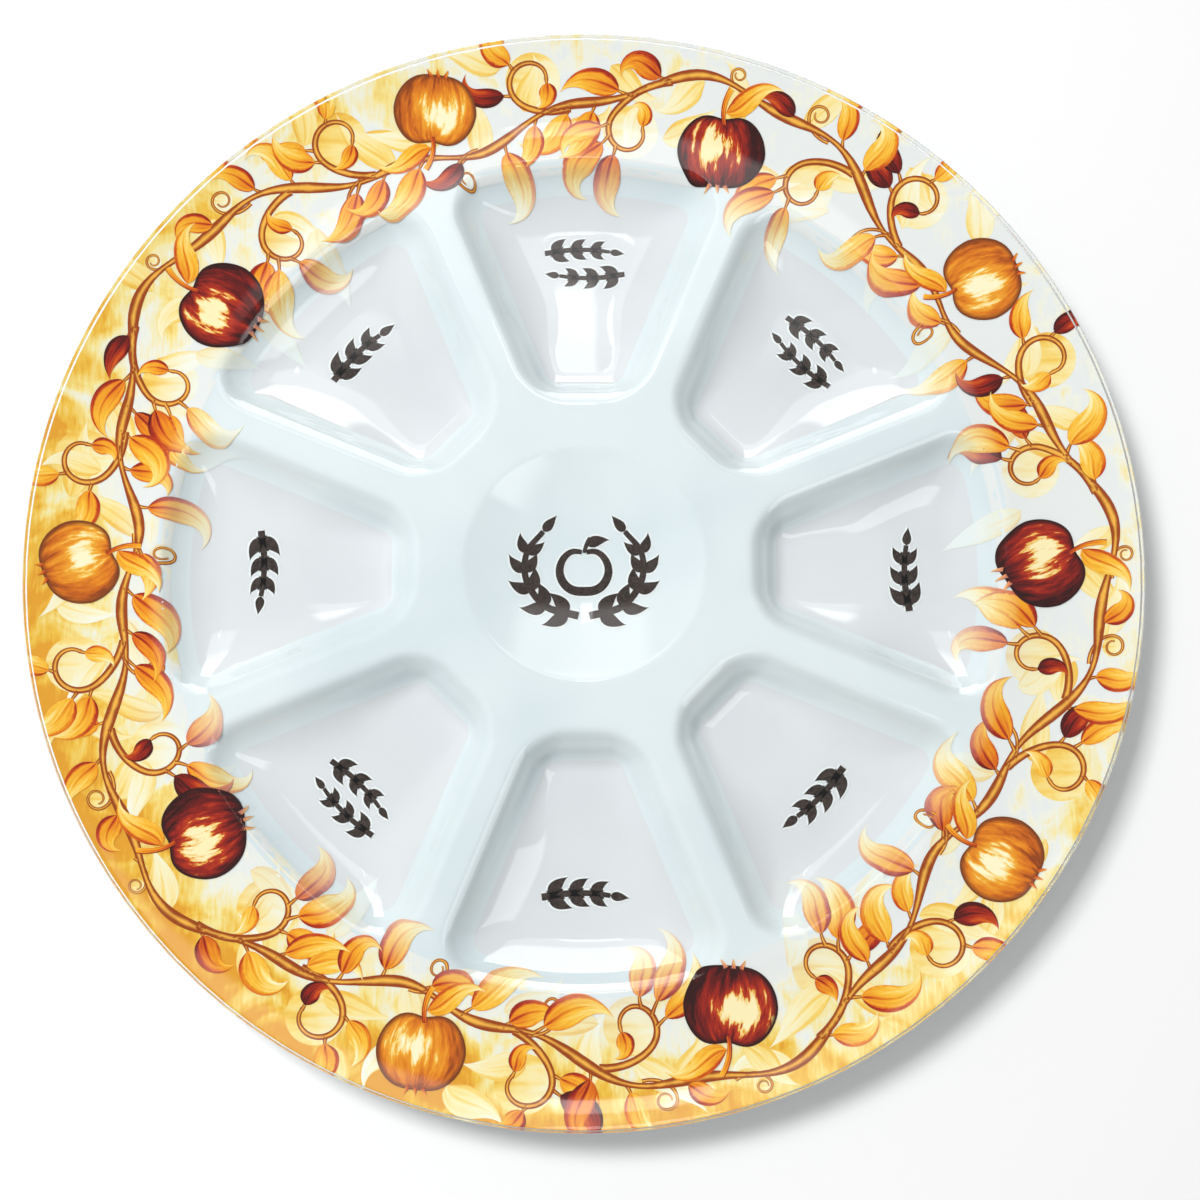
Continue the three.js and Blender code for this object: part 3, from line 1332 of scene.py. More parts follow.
@dataclass
class Painting:
    """Brush strokes and fruits gathered in one mesh that lies in the print under the glass."""

    form: PlateForm
    reach: float = 199.3
    body: BMesh = field(default_factory=bmesh.new)
    sunk: float = 0.0

    def __post_init__(self) -> None:
        """Name the mesh's own layers: brush map, tone and depth."""
        self.brush = self.body.loops.layers.uv.new("brush")
        self.tone = self.body.verts.layers.float.new("tone")
        self.depth = self.body.verts.layers.float.new("depth")

    def sheet(self, along: int, across: int) -> list[BMVert]:
        """Add a flat sheet of quads, from -1 to 1 both ways."""
        made = bmesh.ops.create_grid(self.body, x_segments=along, y_segments=across, size=1.0)
        return made["verts"]

    def stroke(
        self, line: Line, half_widths: np.ndarray, layer: Layer, tone: float = 0.0, strips: int = 2
    ) -> None:
        """Add a brush stroke.

        Args:
            line: Middle of the stroke.
            half_widths: Half width at each of its points.
            layer: Depth of the paint.
            tone: Colour number that the paint reads.
            strips: Number of strips across.
        """
        along = np.gradient(line, axis=0)
        along /= np.linalg.norm(along, axis=1, keepdims=True) + 1e-9
        aside = np.stack([-along[:, 1], along[:, 0]], axis=1)
        steps = len(line) - 1
        marks = {}
        for vert in self.sheet(steps, strips):
            u, v = (vert.co.x + 1) / 2, vert.co.y
            marks[vert] = (u, (v + 1) / 2)
            i = round(u * steps)
            self.put(vert, line[i] + aside[i] * half_widths[i] * v, layer, tone)
        self.map_brush(marks)

    def disc(
        self,
        outline: Callable[[float], float],
        place: Place,
        layer: Layer,
        tone: float,
        rings: int,
        spokes: int,
    ) -> None:
        """Add a filled round shape.

        Args:
            outline: Radius of the shape at each angle from its top.
            place: Move from the shape's own plane to the plan.
            layer: Depth of the paint.
            tone: Colour number that the paint reads.
            rings: Number of rings.
            spokes: Number of steps round it.
        """
        marks = {}
        for vert in self.sheet(rings, spokes):
            share, turn = (vert.co.x + 1) / 2, vert.co.y * math.pi
            across = np.array([math.sin(turn), math.cos(turn)])
            marks[vert] = tuple((across * share + 1) / 2)
            self.put(vert, place(across * share * outline(turn)), layer, tone)
        self.map_brush(marks)

    def put(self, vert: BMVert, spot: np.ndarray, layer: Layer, tone: float) -> None:
        """Place a vertex in the plan, within the printed area, with its depth and tone.

        Args:
            vert: The vertex.
            spot: Its place in the plan.
            layer: Depth of the paint.
            tone: Colour number that the paint reads.
        """
        far = math.hypot(*spot)
        vert.co.xy = spot * min(1.0, self.reach / max(far, 1e-6))
        vert[self.tone] = tone
        vert[self.depth] = layer.value + self.sunk

    def map_brush(self, marks: dict[BMVert, Pair]) -> None:
        """Write the brush map on the faces of new vertices.

        Args:
            marks: Place of each vertex in the map.
        """
        for face in {face for vert in marks for face in vert.link_faces}:
            for loop in face.loops:
                loop[self.brush].uv = marks[loop.vert]

    def finish(self, name: str, paint: Material, slot: str) -> Object:
        """Lay the painting under the glass and make it a piece.

        Args:
            name: Name of the piece.
            paint: Its paint.
            slot: Material slot of the record; not used.

        Returns:
            The new piece.
        """
        bmesh.ops.remove_doubles(self.body, verts=self.body.verts[:], dist=0.001)
        places = np.array([vert.co for vert in self.body.verts])
        depths = np.array([vert[self.depth] for vert in self.body.verts])
        for depth in np.unique(depths):
            chosen = np.flatnonzero(depths == depth)
            heights = self.form.height(places[chosen, 0], places[chosen, 1], float(depth))
            places[chosen, 2] = heights
        for vert, spot in zip(self.body.verts, places):
            vert.co.z = spot[2]
        self.body.normal_update()
        overturned = [face for face in self.body.faces if face.normal.z < 0]
        bmesh.ops.reverse_faces(self.body, faces=overturned)
        return finished(self.body, name, [paint])


# An apple's outline: depth and breadth of the dip at its stalk and of its flat blossom end
APPLE_DIP = (0.2, 0.42)
APPLE_FLAT = (0.1, 0.5)
APPLE_SQUAT = 0.04


def apple_outline(radius: float) -> Callable[[float], float]:
    """Give the outline of an apple, with a dip at the stalk and a flat blossom end.

    Args:
        radius: Half the apple's breadth.

    Returns:
        A function from the angle off its top to its radius there.
    """

    def outline(turn: float) -> float:
        """Give the radius at one angle.

        Args:
            turn: Angle off the apple's top, in radians.

        Returns:
            The radius there.
        """
        dip = APPLE_DIP[0] * math.exp(-((turn / APPLE_DIP[1]) ** 2))
        flat = APPLE_FLAT[0] * math.exp(-(((abs(turn) - math.pi) / APPLE_FLAT[1]) ** 2))
        return radius * (1.0 - dip - flat - APPLE_SQUAT * abs(math.cos(turn)))

    return outline


@dataclass(frozen=True)
class Bud:
    """Where one leaf grows from a stalk.

    share: place along the stalk, from 0 to 1.
    side: 1 for the left of the stalk, -1 for the right, 0 for its tip.
    size: share of the usual leaf length.
    lean: angle off the stalk.
    """

    share: float
    side: int
    size: float = 1.0
    lean: float = 0.8


@dataclass(frozen=True)
class Scroll:
    """A stalk or tendril that leaves the vine and winds in on itself.

    Places are a radius and a length along the ring, from the middle of its module.
    """

    root: Pair
    middle: Pair
    turns: float
    buds: tuple[Bud, ...] = ()
    radius: float = 11.5
    half_width: float = 1.5


class Module(Enum):
    """The two kinds of half wave: the buds of the vine, then its scrolls and tendrils."""

    INNER = (
        (
            Bud(0.03, -1, 1.0, 0.7),
            Bud(0.13, -1, 0.8, 0.6),
            Bud(0.3, -1, 0.7, 0.5),
            Bud(0.72, -1, 0.8, 0.5),
            Bud(0.86, -1, 1.0, 0.7),
            Bud(0.95, 1, 0.95, 0.9),
        ),
        (
            Scroll(
                (187.0, 24),
                (166, 37),
                0.86,
                (Bud(0.32, -1, 0.9), Bud(0.42, -1, 1.1), Bud(0.53, -1, 1.0, 1.0), Bud(1.0, 0, 0.5)),
            ),
            Scroll(
                (178.6, -50),
                (165, -37),
                0.86,
                (Bud(0.4, -1, 1.0), Bud(0.5, -1, 1.15, 0.9), Bud(0.62, -1, 0.95), Bud(1.0, 0, 0.5)),
            ),
            Scroll((190.0, -6), (194.6, 2), -1.5, (), 3.0, 0.6),
            Scroll((184.0, -36), (191.5, -29), -1.4, (), 4.2, 0.7),
        ),
    )
    OUTER = (
        (
            Bud(0.05, 1, 1.0, 0.9),
            Bud(0.17, 1, 0.85),
            Bud(0.3, 1, 1.1, 0.9),
            Bud(0.44, 1, 0.8),
            Bud(0.58, 1, 1.15, 0.9),
            Bud(0.72, 1, 0.85),
            Bud(0.84, 1, 1.05, 0.9),
        ),
        (
            Scroll(
                (167.4, 30),
                (185, 36),
                -0.86,
                (Bud(0.26, 1, 0.85), Bud(0.36, 1, 0.9, 1.0), Bud(0.6, 1, 0.6), Bud(1.0, 0, 0.5)),
            ),
            Scroll(
                (174.4, -50),
                (185.5, -37),
                -0.86,
                (Bud(0.34, 1, 0.8), Bud(0.55, 1, 0.7, 1.0), Bud(1.0, 0, 0.5)),
            ),
            Scroll((163.2, -12), (153, -4), 1.5, (), 4.2, 0.7),
            Scroll((168.5, 34), (158, 43), 1.4, (), 4.0, 0.7),
        ),
    )


@dataclass(frozen=True)
class LeafHabit:
    """How the leaves of the vine grow: sizes in millimetres, and the limits of their variation."""

    length: float = 29.0
    half_width: float = 4.6
    lengths: Pair = (0.92, 1.1)
    leans: Pair = (0.85, 1.15)
    bends: Pair = (0.5, 1.5)
    sways: Pair = (0.3, 1.0)
    widths: Pair = (0.9, 1.15)
    steps: int = 22
    bare_steps: int = 3
    stalk_steps: int = 5
    stalk: Pair = (0.85, 0.35)
    depths: float = 0.09
    tones: tuple[float, ...] = (0.1, 0.18, 0.27, 0.36, 0.66)
    tone_shares: tuple[float, ...] = (0.2, 0.24, 0.26, 0.14, 0.16)


@dataclass(frozen=True)
class GhostHabit:
    """How the pale leaves lie behind the vine: sizes in millimetres, and their limits."""

    count: int = 9
    spacing: float = 12.2
    radii: Triple = (162, 176, 189)
    shifts: Pair = (-3, 3)
    rises: Pair = (-4, 4)
    lengths: Pair = (22, 32)
    bends: Pair = (-0.8, 0.8)
    sways: Pair = (-0.7, 0.7)
    half_widths: Pair = (4.0, 5.5)
    tones: Pair = (0.0, 0.35)
    depths: float = 0.045
    fill_share: float = 0.9
    fill_tones: Pair = (0.1, 0.4)
    fill_net: tuple[int, int] = (6, 28)
    steps: int = 16


@dataclass(frozen=True)
class TrimHabit:
    """Stalk, blossom end and leaf of an apple: lengths in apple radii, widths in millimetres."""

    stalk_foot: float = 0.62
    stalk_heading: float = math.pi / 2 + 0.3
    stalk_length: float = 0.85
    stalk_bend: float = -0.8
    stalk_widths: Pair = (0.7, 1.1)
    stalk_steps: int = 8
    spikes: tuple[Pair, ...] = ((-0.16, 0.5), (0.0, 0.0), (0.16, -0.5))
    spike_foot: float = -0.8
    spike_length: float = 0.2
    spike_bend: float = 0.2
    spike_widths: Pair = (0.9, 0.15)
    spike_steps: int = 4
    dark_tone: float = 0.4
    leaf_foot: float = 0.9
    leaf_heading: float = 0.2
    leaf_length: float = 1.5
    leaf_bend: float = -0.2
    leaf_sway: float = 0.7
    leaf_half_width: float = 0.25
    leaf_tone: float = 0.16
    leaf_steps: int = 16


@dataclass
class Spray:
    """The two paintings of one stretch of vine: its leaf blades and its stalks."""

    leaves: Painting
    stems: Painting


@dataclass
class VineBorder:
    """A regular scroll of vine round the rim, with apples, leaves and tendrils."""

    form: PlateForm
    modules: int = 10
    mid_radius: float = 176.5
    swing: float = 13.5
    ripple: float = 2.6
    vine_steps: int = 48
    stalk: float = 1.55
    stalk_swell: float = 0.35
    scroll_thinning: float = 0.45
    inner_fruit: float = 165.5
    outer_fruit: float = 181.5
    fruit_radius: float = 16.5
    outer_fruit_share: float = 0.94
    fruit_tilts: tuple[float, ...] = (0.35, -0.3, 0.2, -0.4, 0.1)
    fruit_net: tuple[int, int] = (20, 84)
    fruit_tone: float = 0.37
    wash_inner: float = 151.0
    wash_net: tuple[int, int] = (24, 256)
    seed: int = 5
    leaf: LeafHabit = LeafHabit()
    ghost: GhostHabit = GhostHabit()
    trim: TrimHabit = TrimHabit()

    def __post_init__(self) -> None:
        """Start the seeded variation and make the paints once."""
        self.chance = np.random.default_rng(self.seed)
        self.leaf_paint = LeafPaint().make()
        self.ghost_paint = GHOST_LEAF.make()
        self.stem_paint = StemPaint().make()
        self.fruit_paints = [RED_APPLE.make(), AMBER_APPLE.make()]
        self.leaves_made = 0

    def middle(self, module: int) -> float:
        """Angle of a module's middle round the plate."""
        return 2 * math.pi / self.modules * module

    def kind(self, module: int) -> Module:
        """Kind of a module: the apple hangs inside the vine, or outside it."""
        return (Module.INNER, Module.OUTER)[module % 2]

    def bent(self, module: int, line: Line) -> Line:
        """Bend a line of radii and lengths along the ring to the plate's plan, in its module."""
        angle = self.middle(module) + line[:, 1] / self.mid_radius
        return np.stack([line[:, 0] * np.cos(angle), line[:, 0] * np.sin(angle)], axis=1)

    def vine(self, module: int) -> Line:
        """Draw the main vine over one module.

        Args:
            module: Number of the module.

        Returns:
            The vine in the plan.
        """
        half = math.pi / self.modules * self.mid_radius
        length = np.linspace(-half, half, self.vine_steps + 1)
        way = 1 if self.kind(module) is Module.INNER else -1
        radius = self.mid_radius + way * self.swing * np.cos(length / half * math.pi / 2)
        radius += self.ripple * np.sin(length / half * 2 * math.pi)
        return self.bent(module, np.stack([radius, length], axis=1))

    def vary(self, limits: Pair) -> float:
        """Pick a number between two limits."""
        return float(self.chance.uniform(*limits))

    def tone(self) -> float:
        """Pick a leaf's colour number: gold, amber, orange, or now and then deep red."""
        return float(self.chance.choice(self.leaf.tones, p=self.leaf.tone_shares))

    def add_leaf(self, spray: Spray, base: np.ndarray, heading: float, bud: Bud) -> None:
        """Add one leaf and its stalk.

        Args:
            spray: Paintings that take them.
            base: Foot of the leaf.
            heading: Direction of the branch at its foot.
            bud: The leaf's side, size and lean.
        """
        leaf = self.leaf
        side = bud.side or (1 if self.chance.random() < 0.5 else -1)
        length = leaf.length * bud.size * self.vary(leaf.lengths)
        rib = bowed(
            tuple(base),
            heading + bud.side * bud.lean * self.vary(leaf.leans),
            length,
            -side * self.vary(leaf.bends),
            leaf.steps,
            side * self.vary(leaf.sways),
        )
        width = leaf.half_width * bud.size**0.6 * self.vary(leaf.widths)
        blade = rib[leaf.bare_steps :]
        breadth = side * leaf_breadth(len(blade) - 1, width)
        spray.leaves.sunk = leaf.depths * (self.leaves_made * GOLDEN_SHARE % 1)
        spray.leaves.stroke(blade, breadth, Layer.LEAF, self.tone(), LEAF_STRIPS)
        stalk = taper(leaf.stalk_steps, *leaf.stalk)
        spray.stems.stroke(rib[: leaf.stalk_steps + 1], stalk, Layer.STEM)
        self.leaves_made += 1

    def add_branch(
        self, spray: Spray, line: Line, widths: np.ndarray, buds: tuple[Bud, ...]
    ) -> None:
        """Add a stalk and its leaves.

        Args:
            spray: Paintings that take them.
            line: The stalk in the plan.
            widths: Its half widths.
            buds: Where its leaves grow.
        """
        spray.stems.stroke(line, widths, Layer.STEM)
        for bud in buds:
            i = round(bud.share * (len(line) - 1))
            self.add_leaf(spray, line[i], heading_at(line, i), bud)

    def build_branches(self, module: int) -> list[Object]:
        """Build the vine, scrolls, leaves and tendrils of one module.

        Args:
            module: Number of the module, from 0.

        Returns:
            The leaf piece and the stem piece.
        """
        spray = Spray(Painting(self.form), Painting(self.form))
        buds, scrolls = self.kind(module).value
        vine = self.vine(module)
        knots = np.cos(np.linspace(0, 6 * math.pi, len(vine)))
        self.add_branch(spray, vine, self.stalk * (1 + self.stalk_swell * knots), buds)
        for scroll in scrolls:
            coil = coiled(scroll.root, scroll.middle, scroll.radius, scroll.turns)
            thin = scroll.half_width * self.scroll_thinning
            widths = taper(len(coil) - 1, scroll.half_width, thin)
            self.add_branch(spray, self.bent(module, coil), widths, scroll.buds)
        return [
            spray.leaves.finish(f"leaf_spray_{module + 1}", self.leaf_paint, "border_print"),
            spray.stems.finish(f"vine_stem_{module + 1}", self.stem_paint, "border_print"),
        ]

    def build_ghosts(self, module: int) -> Object:
        """Build the pale leaves, and the gold that fills the scrolls, of one module.

        Args:
            module: Number of the module, from 0.

        Returns:
            The pale piece.
        """
        art, ghost = Painting(self.form), self.ghost
        for number in range(ghost.count):
            length = (number - ghost.count // 2) * ghost.spacing + self.vary(ghost.shifts)
            radius = ghost.radii[number % 3] + self.vary(ghost.rises)
            base = self.bent(module, np.array([[radius, length]]))[0]
            rib = bowed(
                tuple(base),
                self.vary((0, 2 * math.pi)),
                self.vary(ghost.lengths),
                self.vary(ghost.bends),
                ghost.steps,
                self.vary(ghost.sways),
            )
            art.sunk = ghost.depths * number / ghost.count
            breadth = leaf_breadth(ghost.steps, self.vary(ghost.half_widths))
            art.stroke(rib, breadth, Layer.PALE_LEAF, self.vary(ghost.tones), LEAF_STRIPS)
        art.sunk = 0.0
        for scroll in self.kind(module).value[1]:
            place = placed(0, tuple(self.bent(module, np.array([scroll.middle]))[0]))
            size = scroll.radius * ghost.fill_share
            tone = self.vary(ghost.fill_tones)
            art.disc(lambda turn: size, place, Layer.PALE_FILL, tone, *ghost.fill_net)
        return art.finish(f"pale_leaves_{module + 1}", self.ghost_paint, "border_print")

    def fruit_place(self, module: int) -> tuple[Place, float]:
        """Find where an apple hangs.

        Args:
            module: Number of the module, from 0.

        Returns:
            The move to the plan, and the apple's radius.
        """
        inner = self.kind(module) is Module.INNER
        tilt = self.fruit_tilts[module % len(self.fruit_tilts)]
        at = (self.inner_fruit if inner else self.outer_fruit, 0.0)
        size = self.fruit_radius * (1.0 if inner else self.outer_fruit_share)
        upright = -math.pi / 2 if inner else math.pi / 2
        return placed(self.middle(module), at, upright + tilt), size

    def build_fruit(self, module: int) -> Object:
        """Build one apple.

        Args:
            module: Number of the module, from 0.

        Returns:
            The fruit piece.
        """
        art = Painting(self.form)
        place, size = self.fruit_place(module)
        tone = module * self.fruit_tone
        art.disc(apple_outline(size), place, Layer.FRUIT, tone, *self.fruit_net)
        return art.finish(f"apple_{module + 1}", self.fruit_paints[module % 2], "border_print")

    def build_fruit_trim(self, module: int) -> Object:
        """Build the stalk and leaf on top of one apple, and its blossom end.

        Args:
            module: Number of the module, from 0.

        Returns:
            The trim piece.
        """
        art, trim = Painting(self.form), self.trim
        place, size = self.fruit_place(module)
        foot = (0.0, size * trim.stalk_foot)
        length = size * trim.stalk_length
        stalk = bowed(foot, trim.stalk_heading, length, trim.stalk_bend, trim.stalk_steps)
        widths = taper(trim.stalk_steps, *trim.stalk_widths)
        art.stroke(place(stalk), widths, Layer.DETAIL, trim.dark_tone)
        widths = taper(trim.spike_steps, *trim.spike_widths)
        for aside, lean in trim.spikes:
            foot = (aside * size, size * trim.spike_foot)
            length = size * trim.spike_length
            heading = -math.pi / 2 - lean
            spike = bowed(foot, heading, length, trim.spike_bend, trim.spike_steps)
            art.stroke(place(spike), widths, Layer.DETAIL, trim.dark_tone)
        rib = bowed(
            (0.2, size * trim.leaf_foot),
            trim.leaf_heading,
            size * trim.leaf_length,
            trim.leaf_bend,
            trim.leaf_steps,
            trim.leaf_sway,
        )
        widths = leaf_breadth(trim.leaf_steps, size * trim.leaf_half_width)
        art.stroke(place(rib), widths, Layer.DETAIL, trim.leaf_tone, LEAF_STRIPS)
        return art.finish(f"apple_trim_{module + 1}", self.leaf_paint, "border_print")

    def build_wash(self) -> Object:
        """Build the brushed ground of the border, from the web to the edge.

        Returns:
            The wash piece.
        """
        art = Painting(self.form)
        for vert in art.sheet(*self.wash_net):
            radius = self.wash_inner + (art.reach - self.wash_inner) * (vert.co.x + 1) / 2
            turn = vert.co.y * math.pi
            art.put(vert, radius * np.array([math.cos(turn), math.sin(turn)]), Layer.WASH, 0.0)
        piece = art.finish("golden_wash", GoldenWash().make(), "border_print")
        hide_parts("border_transfer")
        return piece


@dataclass(frozen=True)
class SprigHabit:
    """How a dark sprig grows. Its lengths and half widths are shares of its leaf length."""

    stalk: Pair = (0.14, 0.09)
    last_pair: float = 0.92
    shrinking: float = 0.3
    lean: float = 1.0
    bend: float = 0.7
    half_width: float = 0.24
    tip_length: float = 0.75
    tip_half_width: float = 0.17
    steps: int = 10


@dataclass
class InkMotifs:
    """Dark sprigs with a white halo, on the floor of each well and in the middle."""

    form: PlateForm
    well_radius: float = 118.0
    halo: float = 0.7
    two_row_wells: tuple[int, ...] = (1, 2, 5)
    row_rise: float = 4.9
    row_arch: tuple[Pair, ...] = ((-15.0, -0.8), (-6.0, 0.5), (3.0, 0.6), (9.5, -0.2))
    single_leaf: float = 9.4
    double_leaf: float = 7.6
    wreath_bow: tuple[Pair, ...] = (
        (2.0, -18.5),
        (14.0, -15.0),
        (21.0, -5.5),
        (21.0, 5.0),
        (15.0, 13.0),
    )
    wreath_leaf: float = 10.5
    apple_radius: float = 9.0
    apple_drop: float = 1.5
    apple_gap: float = 0.12
    apple_line: Pair = (0.8, 0.9)
    stalk_widths: Pair = (0.6, 1.0)
    leaf_half_width: float = 2.1
    apple_points: int = 49
    spline_steps: int = 6
    habit: SprigHabit = SprigHabit()

    # Leaf pairs of a sprig, and the share of its stalk before the first of them
    row_pairs: tuple[int, float] = (3, 0.12)
    wreath_pairs: tuple[int, float] = (5, 0.1)

    # Foot, heading, length, bend and steps of the middle apple's stalk and leaf
    apple_stalk: tuple = ((0.0, 5.2), 1.4, 6.0, -0.5, 8)
    apple_leaf: tuple = ((0.8, 8.2), 0.5, 9.0, -0.6, 12)

    def __post_init__(self) -> None:
        """Make the two inks once."""
        self.dark = DARK_INK.make()
        self.white = WHITE_INK.make()

    def sprig(self, line: Line, leaf: float, pairs: int, first: float) -> list[tuple]:
        """Draw a leafy sprig along a line.

        Args:
            line: Its stalk.
            leaf: Length of its leaves.
            pairs: Number of leaf pairs.
            first: Share of the stalk before the first pair.

        Returns:
            The sprig's strokes: lines and half widths.
        """
        steps, habit = len(line) - 1, self.habit
        strokes = [(line, taper(steps, leaf * habit.stalk[0], leaf * habit.stalk[1]))]
        for pair in range(pairs):
            i = round(steps * (first + (habit.last_pair - first) * pair / pairs))
            size = leaf * (1.0 - habit.shrinking * pair / pairs)
            for side in (1, -1):
                heading = heading_at(line, i) + side * habit.lean
                rib = bowed(tuple(line[i]), heading, size, -side * habit.bend, habit.steps)
                strokes.append((rib, leaf_breadth(habit.steps, size * habit.half_width)))
        length = leaf * habit.tip_length
        tip = bowed(tuple(line[-1]), heading_at(line, -1), length, 0.0, habit.steps)
        strokes.append((tip, leaf_breadth(habit.steps, leaf * habit.tip_half_width)))
        return strokes

    def lay(self, name: str, strokes: list[tuple], place: Place, node: str) -> None:
        """Print strokes and their halo as two pieces that stand for a CAD layer.

        Args:
            name: Name of the dark piece.
            strokes: Lines and half widths.
            place: Move to the plate's plan.
            node: CAD node that they replace.
        """
        ink, halo = Painting(self.form), Painting(self.form)
        for line, widths in strokes:
            moved = place(line)
            ink.stroke(moved, widths, Layer.LEAF)
            halo.stroke(moved, widths + self.halo, Layer.PALE_FILL)
        dark = ink.finish(name, self.dark, "dark_print")
        light = halo.finish(f"{name}_halo", self.white, "dark_print")
        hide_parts(node)
        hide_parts(node)

    def build_well(self, well: int) -> None:
        """Build the sprigs of one well.

        Args:
            well: Number of the well, from 0.
        """
        rows, leaf = ((0.0, 1 if well % 2 else -1),), self.single_leaf
        if well in self.two_row_wells:
            rows, leaf = ((self.row_rise, 1), (-self.row_rise, -1)), self.double_leaf
        strokes = []
        for rise, way in rows:
            arch = [(way * x, rise + way * y) for x, y in self.row_arch]
            line = spline(arch, self.spline_steps)
            strokes += self.sprig(line, leaf, *self.row_pairs)
        angle = 2 * math.pi * well / self.form.well_count
        place = placed(angle, (self.well_radius, 0.0), -math.pi / 2)
        self.lay(f"well_sprig_{well + 1}", strokes, place, f"well_transfer_{well + 1}")

    def build_centre(self) -> None:
        """Build an apple between two curved sprigs in the recess."""
        strokes = []
        for side in (1, -1):
            bow = [(side * x, y) for x, y in self.wreath_bow]
            line = spline(bow, self.spline_steps)
            strokes += self.sprig(line, self.wreath_leaf, *self.wreath_pairs)
        outline = apple_outline(self.apple_radius)
        turns = np.linspace(self.apple_gap, 2 * math.pi - self.apple_gap, self.apple_points)
        skin = np.array(
            [
                outline((turn + math.pi) % (2 * math.pi) - math.pi)
                * np.array([math.sin(turn), math.cos(turn)])
                for turn in turns
            ]
        ) - np.array([0.0, self.apple_drop])
        thin, swell = self.apple_line
        strokes.append((skin, thin + swell * np.sin(turns / 2)))
        stalk, leaf = bowed(*self.apple_stalk), bowed(*self.apple_leaf)
        strokes.append((stalk, taper(len(stalk) - 1, *self.stalk_widths)))
        strokes.append((leaf, leaf_breadth(len(leaf) - 1, self.leaf_half_width)))
        self.lay("centre_wreath", strokes, placed(0, (0.0, 0.0)), "centre_transfer")


# Bumpers


@dataclass
class BumperFeet:
    """Four domed silicone bumpers, stuck under every second well."""

    radius: float = 5.5
    tread: float = 4.0
    height: float = 2.5
    sides: int = 48
    dome_steps: int = 5

    def section(self) -> list[Pair]:
        """Draw half the section of a bumper.

        Returns:
            Radii and heights, from the middle of its stuck face to the middle of its tread.
        """
        points = [(0.0, self.height), (self.radius, self.height)]
        spread = self.radius - self.tread
        for turn in np.linspace(0, math.pi / 2, self.dome_steps + 1)[1:]:
            height = self.height * (1 - math.sin(turn))
            points.append((self.tread + spread * math.cos(turn), height))
        return [*points, (0.0, 0.0)]

    def build(self) -> None:
        """Turn each bumper from its half section and place it on its node."""
        silicone = Silicone().make()
        for foot in range(4):
            low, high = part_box(f"bumper_foot_{foot + 1}")
            middle = (low + high) / 2 / MM
            body = bmesh.new()
            verts = [body.verts.new((x, 0, z)) for x, z in self.section()]
            edges = [body.edges.new(pair) for pair in zip(verts, verts[1:])]
            bmesh.ops.spin(
                body,
                geom=verts + edges,
                cent=(0, 0, 0),
                axis=(0, 0, 1),
                angle=2 * math.pi,
                steps=self.sides,
                use_merge=True,
            )
            bmesh.ops.remove_doubles(body, verts=body.verts[:], dist=0.001)
            bmesh.ops.recalc_face_normals(body, faces=body.faces[:])
            bmesh.ops.translate(body, vec=(middle.x, middle.y, 0), verts=body.verts[:])
            piece = finished(body, f"silicone_bumper_{foot + 1}", [silicone])
            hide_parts(f"bumper_foot_{foot + 1}")


# Studio


class LampUse(Enum):
    """What a lamp is hung for: to light the plate, or to stand mirrored in its glass."""

    LIGHT = "light"
    SHEEN = "sheen"


@dataclass(frozen=True)
class Lamp:
    """A soft box that faces the plate.

    place: its middle.
    size: its width and height.
    brightness: its radiance, where white paper in plain light has 1.
    use: what it is hung for.
    """

    name: str
    place: Triple
    size: Pair
    brightness: float
    use: LampUse = LampUse.SHEEN


LAMPS = (
    Lamp("key_softbox", (-0.76, 0.42, 1.71), (0.55, 0.55), 30.0, LampUse.LIGHT),
    Lamp("back_softbox", (0.0, 1.794, 0.885), (1.16, 2.2), 5.2),
    Lamp("top_softbox", (0.0, 0.591, 1.044), (0.66, 0.42), 1.8),
    Lamp("right_softbox", (0.48, -0.25, 0.85), (0.28, 0.92), 2.8),
    Lamp("strip_softbox", (-0.02, 0.408, 1.0), (0.052, 0.095), 3.6),
)


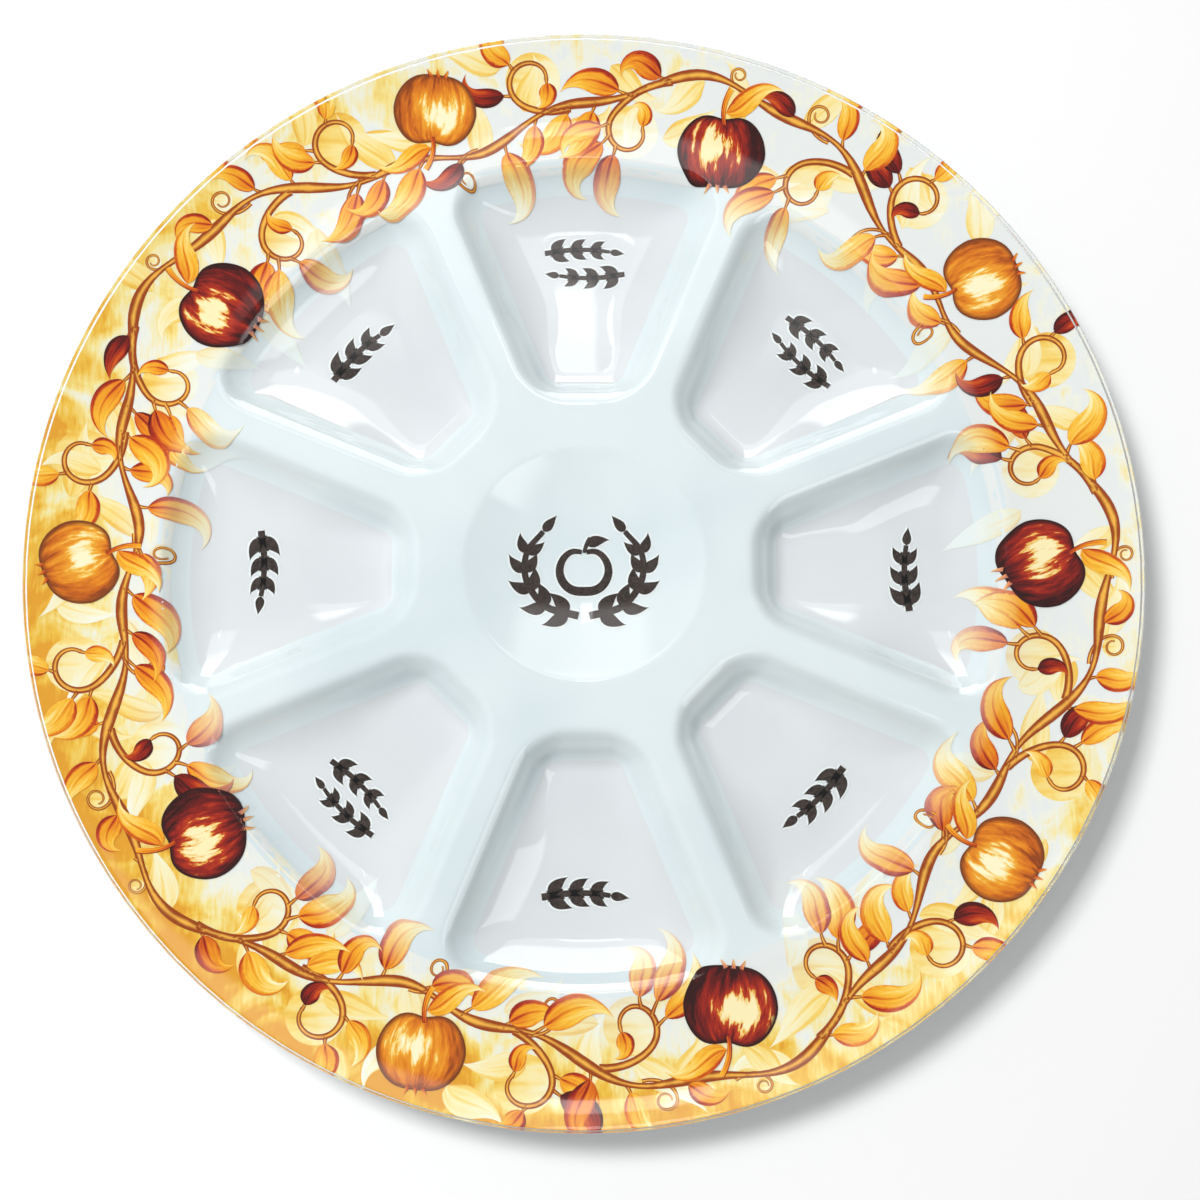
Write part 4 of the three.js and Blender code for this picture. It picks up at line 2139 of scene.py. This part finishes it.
@dataclass
class Studio:
    """White table, soft lamps and the camera over the plate's near side."""

    distance: float = 0.8
    elevation: float = math.radians(79)
    target: Triple = (0.0058, -0.0139, 0.02)
    view: float = math.radians(30.1)
    soft_share: float = 0.16
    room_light: float = 0.46
    table_size: float = 3.0

    def build_camera(self) -> None:
        """Set the camera at the photograph's angle."""
        data = bpy.data.cameras.new("camera")
        data.angle = self.view
        camera = in_scene("camera", data)
        away = Vector((0, -math.cos(self.elevation), math.sin(self.elevation)))
        camera.location = Vector(self.target) + away * self.distance
        camera.rotation_euler = away.to_track_quat("Z", "Y").to_euler()
        bpy.context.scene.camera = camera

    def build_lamp(self, lamp: Lamp) -> None:
        """Hang a soft box that faces the plate.

        Args:
            lamp: What it is like.
        """
        data = bpy.data.lights.new(lamp.name, "AREA")
        data.shape = "RECTANGLE"
        data.size, data.size_y = lamp.size
        data.energy = lamp.brightness * math.pi * lamp.size[0] * lamp.size[1]
        hung = in_scene(lamp.name, data)
        hung.location = lamp.place
        hung.rotation_euler = Vector(lamp.place).to_track_quat("Z", "Y").to_euler()
        hung.visible_glossy = lamp.use is LampUse.SHEEN
        hung.visible_diffuse = lamp.use is LampUse.LIGHT
        if lamp.use is LampUse.SHEEN:
            self.soften_edges(data)

    def soften_edges(self, data: AreaLight) -> None:
        """Let a lamp's cloth grow darker towards its frame, so that its mirror image has soft edges.

        Args:
            data: The lamp.
        """
        data.use_nodes = True
        tree = data.node_tree
        tree.nodes.clear()
        place = add_node(tree, "NewGeometry").outputs["Parametric"]
        cloth = add_node(tree, "SeparateXYZ", {0: place}).outputs
        edge = spans((0.5, 0.5 - self.soft_share))
        fades = {}
        for number, axis in enumerate("XY"):
            shifted = add_node(tree, "Math", {0: cloth[axis], 1: 0.5}, operation="SUBTRACT")
            off = add_node(tree, "Math", {0: shifted}, operation="ABSOLUTE")
            fade = {"Value": off, **edge}
            fades[number] = add_node(tree, "MapRange", fade, interpolation_type="SMOOTHSTEP")
        shine = add_node(tree, "Math", fades, operation="MULTIPLY")
        glow = add_node(tree, "Emission", {"Color": linear(WHITE), "Strength": shine})
        add_node(tree, "OutputLight", {"Surface": glow})

    def build_world(self) -> None:
        """Give soft light from all round, and plain white where the camera sees past the table."""
        world = bpy.data.worlds.new("white_room")
        world.use_nodes = True
        tree = world.node_tree
        tree.nodes.clear()
        seen = add_node(tree, "LightPath").outputs["Is Camera Ray"]
        room, white = (
            add_node(tree, "Background", {"Color": linear(WHITE), "Strength": strength})
            for strength in (self.room_light, 1.0)
        )
        both = add_node(tree, "MixShader", {0: seen, 1: room, 2: white})
        add_node(tree, "OutputWorld", {"Surface": both})
        bpy.context.scene.world = world

    def build_floor(self) -> None:
        """Lay the white table, which keeps the plate's shadow."""
        body = bmesh.new()
        bmesh.ops.create_grid(body, x_segments=1, y_segments=1, size=self.table_size)
        mesh = bpy.data.meshes.new("table")
        body.to_mesh(mesh)
        body.free()
        mesh.materials.append(MattTable().make())
        floor = in_scene("table", mesh)

    def build(self) -> None:
        """Build the whole studio."""
        self.build_camera()
        self.build_world()
        self.build_floor()
        for lamp in LAMPS:
            self.build_lamp(lamp)
        bpy.context.scene.view_settings.view_transform = "Standard"


def main() -> None:
    """Build the plate piece by piece, then the studio round it."""
    logging.basicConfig(level=logging.INFO, format="%(message)s")
    form = PlateForm()
    plate = GlassPlate(form)
    for piece in (plate.build_glass(), plate.build_coat()):
        LOG.info("%s: %d faces", piece.name, len(piece.data.polygons))
    border = VineBorder(form)
    LOG.info("%s", border.build_wash().name)
    for module in range(border.modules):
        pieces = [*border.build_branches(module), border.build_ghosts(module)]
        pieces += [border.build_fruit(module), border.build_fruit_trim(module)]
        LOG.info("%s", ", ".join(piece.name for piece in pieces))
    motifs = InkMotifs(form)
    for well in range(form.well_count):
        motifs.build_well(well)
    motifs.build_centre()
    LOG.info("ink motifs")
    BumperFeet().build()
    LOG.info("bumpers")
    Studio().build()


if __name__ == "__main__":
    main()
